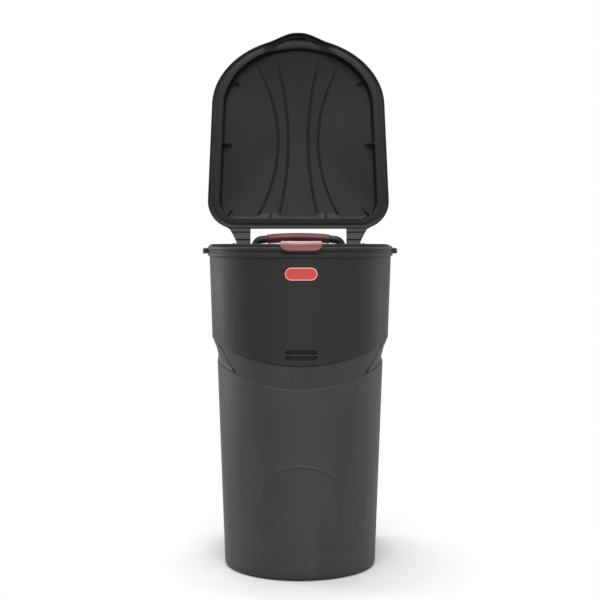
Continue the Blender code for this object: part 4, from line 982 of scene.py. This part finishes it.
def hub_cap(side, tag):
    base = WHEEL_OUT + GAP
    top = base + CAP_DEPTH
    profile = [(top, CAP_TIP)] + [(top - down, CAP_R * share) for down, share in CAP_DOME]
    profile += [(base, CAP_R), (base, CAP_R - CAP_WALL)]
    profile += [(top - CAP_WALL * 2, CAP_R - CAP_WALL * 1.7), (top - CAP_WALL, CAP_TIP)]
    return turned("hub_cap_dome_" + tag, profile, side, 72)


# Materials

class Nodes:
    """Short calls for the nodes of one material or of the world."""

    def __init__(self, owner):
        owner.use_nodes = True
        self.owner = owner
        self.tree = owner.node_tree
        self.shader = self.tree.nodes.get("Principled BSDF")
        self.place = self.add("TexCoord").outputs["Object"]

    def put(self, node, inputs):
        """Links each input to what another node gives, or sets it to a value."""
        for key, value in inputs.items():
            socket = node.inputs[key]
            if isinstance(value, bpy.types.NodeSocket):
                self.tree.links.new(value, socket)
            else:
                socket.default_value = (*value, 1) if socket.type == "RGBA" else value

    def add(self, kind, inputs=None, **settings):
        node = self.tree.nodes.new("ShaderNode" + kind)
        for key, value in settings.items():
            setattr(node, key, value)
        self.put(node, inputs or {})
        return node

    def noise(self, scale, detail=3.0, roughness=0.5, stretch=None):
        place = self.place
        if stretch:
            place = self.add("Mapping", {"Scale": stretch, "Vector": place}).outputs["Vector"]
        inputs = {"Scale": scale, "Detail": detail, "Roughness": roughness, "Vector": place}
        return self.add("TexNoise", inputs).outputs["Fac"]

    def span(self, value, low, high, to_low=0, to_high=1):
        """Maps a value's span to another."""
        inputs = {"Value": value, "From Min": low, "From Max": high, "To Min": to_low, "To Max": to_high}
        return self.add("MapRange", inputs, clamp=True).outputs["Result"]

    def math(self, operation, *values):
        return self.add("Math", dict(enumerate(values)), operation=operation).outputs[0]

    def mix(self, factor, a, b):
        return self.add("Mix", {"Factor": factor, 6: a, 7: b}, data_type="RGBA").outputs[2]

    def edge(self, width):
        """1 along convex and concave edges, 0 on flat stretches."""
        rounded = self.add("Bevel", {"Radius": width}, samples=4).outputs["Normal"]
        flat = self.add("NewGeometry").outputs["Normal"]
        dot = self.add("VectorMath", {0: rounded, 1: flat}, operation="DOT_PRODUCT")
        return self.span(dot.outputs["Value"], 0.995, 0.9)

    def bump(self, value, strength, distance, under=None):
        inputs = {"Height": value, "Strength": strength, "Distance": distance}
        if under:
            inputs["Normal"] = under
        return self.add("Bump", inputs).outputs["Normal"]

    def seen(self):
        """1 for rays that show a white ground itself, 0 for rays that only carry its light."""
        path = self.add("LightPath").outputs
        share = path["Is Camera Ray"]
        for name in ("Is Glossy Ray", "Is Transmission Ray"):
            share = self.math("MAXIMUM", share, path[name])
        return share

    def done(self, colour, roughness, normal, specular=0.5):
        self.put(self.shader, {"Base Color": colour, "Roughness": roughness, "Normal": normal,
                               "Specular IOR Level": specular})
        return self.owner


def painted_light_mask(n):
    """1 below the line where the can's upper body ends, 0 above it: where the painted floor light goes."""
    x, y, z = n.add("SeparateXYZ", {"Vector": n.place}).outputs
    aside = n.math("MINIMUM", n.math("MULTIPLY", n.math("MULTIPLY", x, x), 1 / SHOULDER[0] ** 2), 1)
    dip = n.math("MULTIPLY", n.math("SUBTRACT", 1, aside), SHOULDER_DIP)
    dip = n.math("MULTIPLY", dip, n.math("LESS_THAN", y, ARCH_DEPTH - SHOULDER[1]))
    return n.span(n.math("ADD", z, dip), SHOULDER_Z - 0.008, SHOULDER_Z - 0.002, 1, 0)


def moulded(name, dark, light, rough, grain=1100.0, depth=0.00012, specular=0.15, wear=0, drift=0, low=0):
    """Moulded plastic: fine grain, faint flow marks, cloudy tone and slightly paler edges.

    Drift is dust near the floor, and low is how much paler the can is painted below its shoulder, as
    painted light for the white floor's bounce.
    """
    n = Nodes(bpy.data.materials.new(name))
    cloud = n.noise(5.5, 4.0, 0.6)
    flow = n.noise(14.0, 2.0, 0.5, (1.0, 1.0, 0.18))
    fine = n.noise(grain, 2.0, 0.6)
    tone = n.math("MULTIPLY_ADD", cloud, 0.6, n.span(flow, 0.3, 0.7, 0.0, 0.4))
    tone = n.span(tone, 0.2, 0.8)
    colour = n.mix(tone, dark, light)
    colour = n.mix(n.span(fine, 0.35, 0.75, 0.0, 0.35), colour, tuple(c * 1.45 for c in light))
    # Painted light: below the shoulder a paler copy of the tones stands in for the floor's bounce light.
    if low:
        painted_floor_light = n.mix(tone, *(tuple(c * low for c in tint) for tint in (dark, light)))
        colour = n.mix(painted_light_mask(n), colour, painted_floor_light)
    if wear:
        marked = n.math("MULTIPLY", n.edge(0.0016), n.span(n.noise(60.0, 3.0), 0.3, 0.75, 0.2, 1.0))
        worn = tuple(min(c * 3.2 + 0.012, 1) for c in light)
        colour = n.mix(n.math("MULTIPLY", marked, wear), colour, worn)
    if drift:
        speck = n.span(n.noise(30.0, 5.0, 0.65), 0.4, 0.8)
        height = n.add("SeparateXYZ", {"Vector": n.place}).outputs["Z"]
        dust = n.math("MULTIPLY", n.span(height, DUST_TOP, 0), speck)
        colour = n.mix(n.math("MULTIPLY", dust, drift), colour, DUST)
    roughness = n.span(n.math("ADD", cloud, fine), 0.6, 1.4, rough - 0.06, rough + 0.08)
    normal = n.bump(flow, 0.10, 0.0006, n.bump(fine, 0.55, depth))
    return n.done(colour, roughness, normal, specular)


def rubber_look(name):
    n = Nodes(bpy.data.materials.new(name))
    fine = n.noise(700.0, 3.0, 0.6)
    cloud = n.noise(18.0, 4.0, 0.6)
    colour = n.mix(n.span(cloud, 0.3, 0.75), *RUBBER)
    dusty = n.math("MULTIPLY", n.edge(0.0012), n.span(n.noise(90.0, 3.0), 0.3, 0.8, 0, 0.6))
    colour = n.mix(dusty, colour, RUBBER_DUST)
    return n.done(colour, n.span(cloud, 0.3, 0.7, 0.72, 0.88), n.bump(fine, 0.5, 0.0002), 0.3)


def steel_look(name):
    """Zinc-plated steel with soft crystal patches and fine turned marks."""
    n = Nodes(bpy.data.materials.new(name))
    patch = n.add("TexVoronoi", {"Scale": 320.0, "Vector": n.place}).outputs["Distance"]
    fine = n.noise(500.0, 2.0, 0.5, (14.0, 1.0, 1.0))
    colour = n.mix(n.span(patch, 0.1, 0.7), *ZINC)
    roughness = n.span(n.math("ADD", fine, patch), 0.5, 1.3, 0.26, 0.44)
    n.put(n.shader, {"Metallic": 1})
    return n.done(colour, roughness, n.bump(fine, 0.2, 0.0001))


def backdrop_look():
    """Pale floor that keeps the shadow and turns to plain white further out, as the backdrop does."""
    n = Nodes(bpy.data.materials.new("floor_white"))
    n.put(n.shader, {"Base Color": FLOOR_TONE, "Roughness": 0.85, "Specular IOR Level": 0.1})
    far = n.add("VectorMath", {0: n.place}, operation="LENGTH").outputs["Value"]
    glow = n.add("Emission", {"Color": (1, 1, 1), "Strength": 1})
    share = n.math("MULTIPLY", n.span(far, FLOOR_NEAR, FLOOR_FAR), n.seen())
    both = n.add("MixShader", {0: share, 1: n.shader.outputs[0], 2: glow.outputs[0]})
    n.put(n.tree.nodes["Material Output"], {"Surface": both.outputs[0]})
    return n.owner


# Stage, light and camera

def floor():
    points = [(x, y, 0) for x, y in circle((0, 0), FLOOR_RADIUS, 96)]
    mesh = bpy.data.meshes.new("floor")
    mesh.from_pydata(points, [], [list(range(len(points)))])
    mesh.materials.append(backdrop_look())
    obj = bpy.data.objects.new("floor", mesh)
    bpy.context.scene.collection.objects.link(obj)


def lamp(name, place, target, size, power):
    data = bpy.data.lights.new(name, "AREA")
    data.shape = "RECTANGLE"
    data.size, data.size_y = size
    data.energy = power
    obj = bpy.data.objects.new(name, data)
    obj.location = place
    way = Vector(target) - Vector(place)
    obj.rotation_euler = way.to_track_quat("-Z", "Y").to_euler()
    obj.visible_camera = False
    bpy.context.scene.collection.objects.link(obj)


def world():
    """White to look at, and a weaker light on the pieces."""
    n = Nodes(bpy.data.worlds.new("studio"))
    strength = n.span(n.seen(), 0, 1, WORLD_LIGHT, 1)
    n.put(n.tree.nodes["Background"], {"Color": (1, 1, 1), "Strength": strength})
    bpy.context.scene.world = n.owner


def camera():
    data = bpy.data.cameras.new("camera")
    data.sensor_width = 36.0
    data.lens = CAMERA_LENS
    data.shift_x, data.shift_y = CAMERA_SHIFT
    data.clip_end = 100.0
    obj = bpy.data.objects.new("camera", data)
    obj.location = CAMERA_PLACE
    obj.rotation_euler = (math.radians(90.0 - CAMERA_PITCH), 0, math.radians(-CAMERA_YAW))
    bpy.context.scene.collection.objects.link(obj)
    bpy.context.scene.camera = obj


def carry_over(name, look):
    """A CAD node that stays as it is, with a finished material."""
    obj = frame["nodes"][name]
    obj.data.materials.clear()
    obj.data.materials.append(look)


def dress_can(looks):
    """The can's pieces, and the lid's arms beside the lugs that they turn between."""
    body = looks["body_plastic_fine"]
    fitted(can_shell(), "can", body, "body_plastic", "can_body")
    for tag, side in SIDES:
        for piece in (side_grip(side, tag), *lug_and_stop(side, tag)):
            fitted(piece, "can", body, "body_plastic")
        fitted(arm(side, tag), "lid", looks["lid_plastic_fine"], "lid_plastic")
    for piece in hangers():
        fitted(piece, "can", body, "body_plastic")


def dress_lid(looks):
    look = looks["lid_plastic_fine"]
    fitted(lid_shell(), "lid", look, "lid_plastic", "lid")
    for piece in gussets():
        fitted(piece, "lid", look, "lid_plastic")


def dress_handle_and_plate(looks):
    black = looks["handle_plastic_fine"]
    bar, *rest = rear_handle()
    fitted(bar, "can", black, "handle_plastic", "rear_handle")
    for piece in rest:
        fitted(piece, "can", black, "handle_plastic")
    # The rear grip takes the darker copy of the red, which is painted shade.
    fitted(rear_grip(), "can", looks["grip_red_painted_shade"], "grip_red", "rear_grip")
    fitted(front_grip(), "can", looks["grip_red_fine"], "grip_red", "front_grip")
    face, edge = badge_plate()
    fitted(face, "can", looks["plate_red_fine"], "plate_red", "badge_plate")
    fitted(edge, "can", looks["plate_edge_fine"], "plate_red")


def dress_wheels(looks):
    """The wheels, and the steel pieces and washers that stay as the CAD has them."""
    look = looks["wheel_plastic_fine"]
    rubber = rubber_look("tyre_rubber_fine")
    steel = steel_look("zinc_steel_fine")
    for tag, side in SIDES:
        body = "wheel_" + tag
        fitted(wheel_disc(side, tag), body, look, "wheel_plastic", body)
        for piece in wheel_ribs(side, tag):
            fitted(piece, body, look, "wheel_plastic")
        fitted(tyre(side, tag), body, rubber, "tyre_rubber", "tyre_" + tag)
        fitted(hub_cap(side, tag), body, look, "wheel_plastic", "hub_cap_" + tag)
        carry_over("axle_washer_" + tag, look)
        for name in ("push_nut_", "hinge_pin_", "pin_clip_"):
            carry_over(name + tag, steel)
    for name in ("axle", *(f"handle_screw_{i + 1}" for i in range(4))):
        carry_over(name, steel)


def main():
    looks = {}
    for name, (dark, light, rough, more) in PLASTICS.items():
        looks[name] = moulded(name, dark, light, rough, **more)
    dress_can(looks)
    dress_lid(looks)
    dress_handle_and_plate(looks)
    dress_wheels(looks)
    floor()
    world()
    for values in LAMPS:
        lamp(*values)
    camera()
    bpy.context.scene.view_settings.view_transform = "Standard"


main()
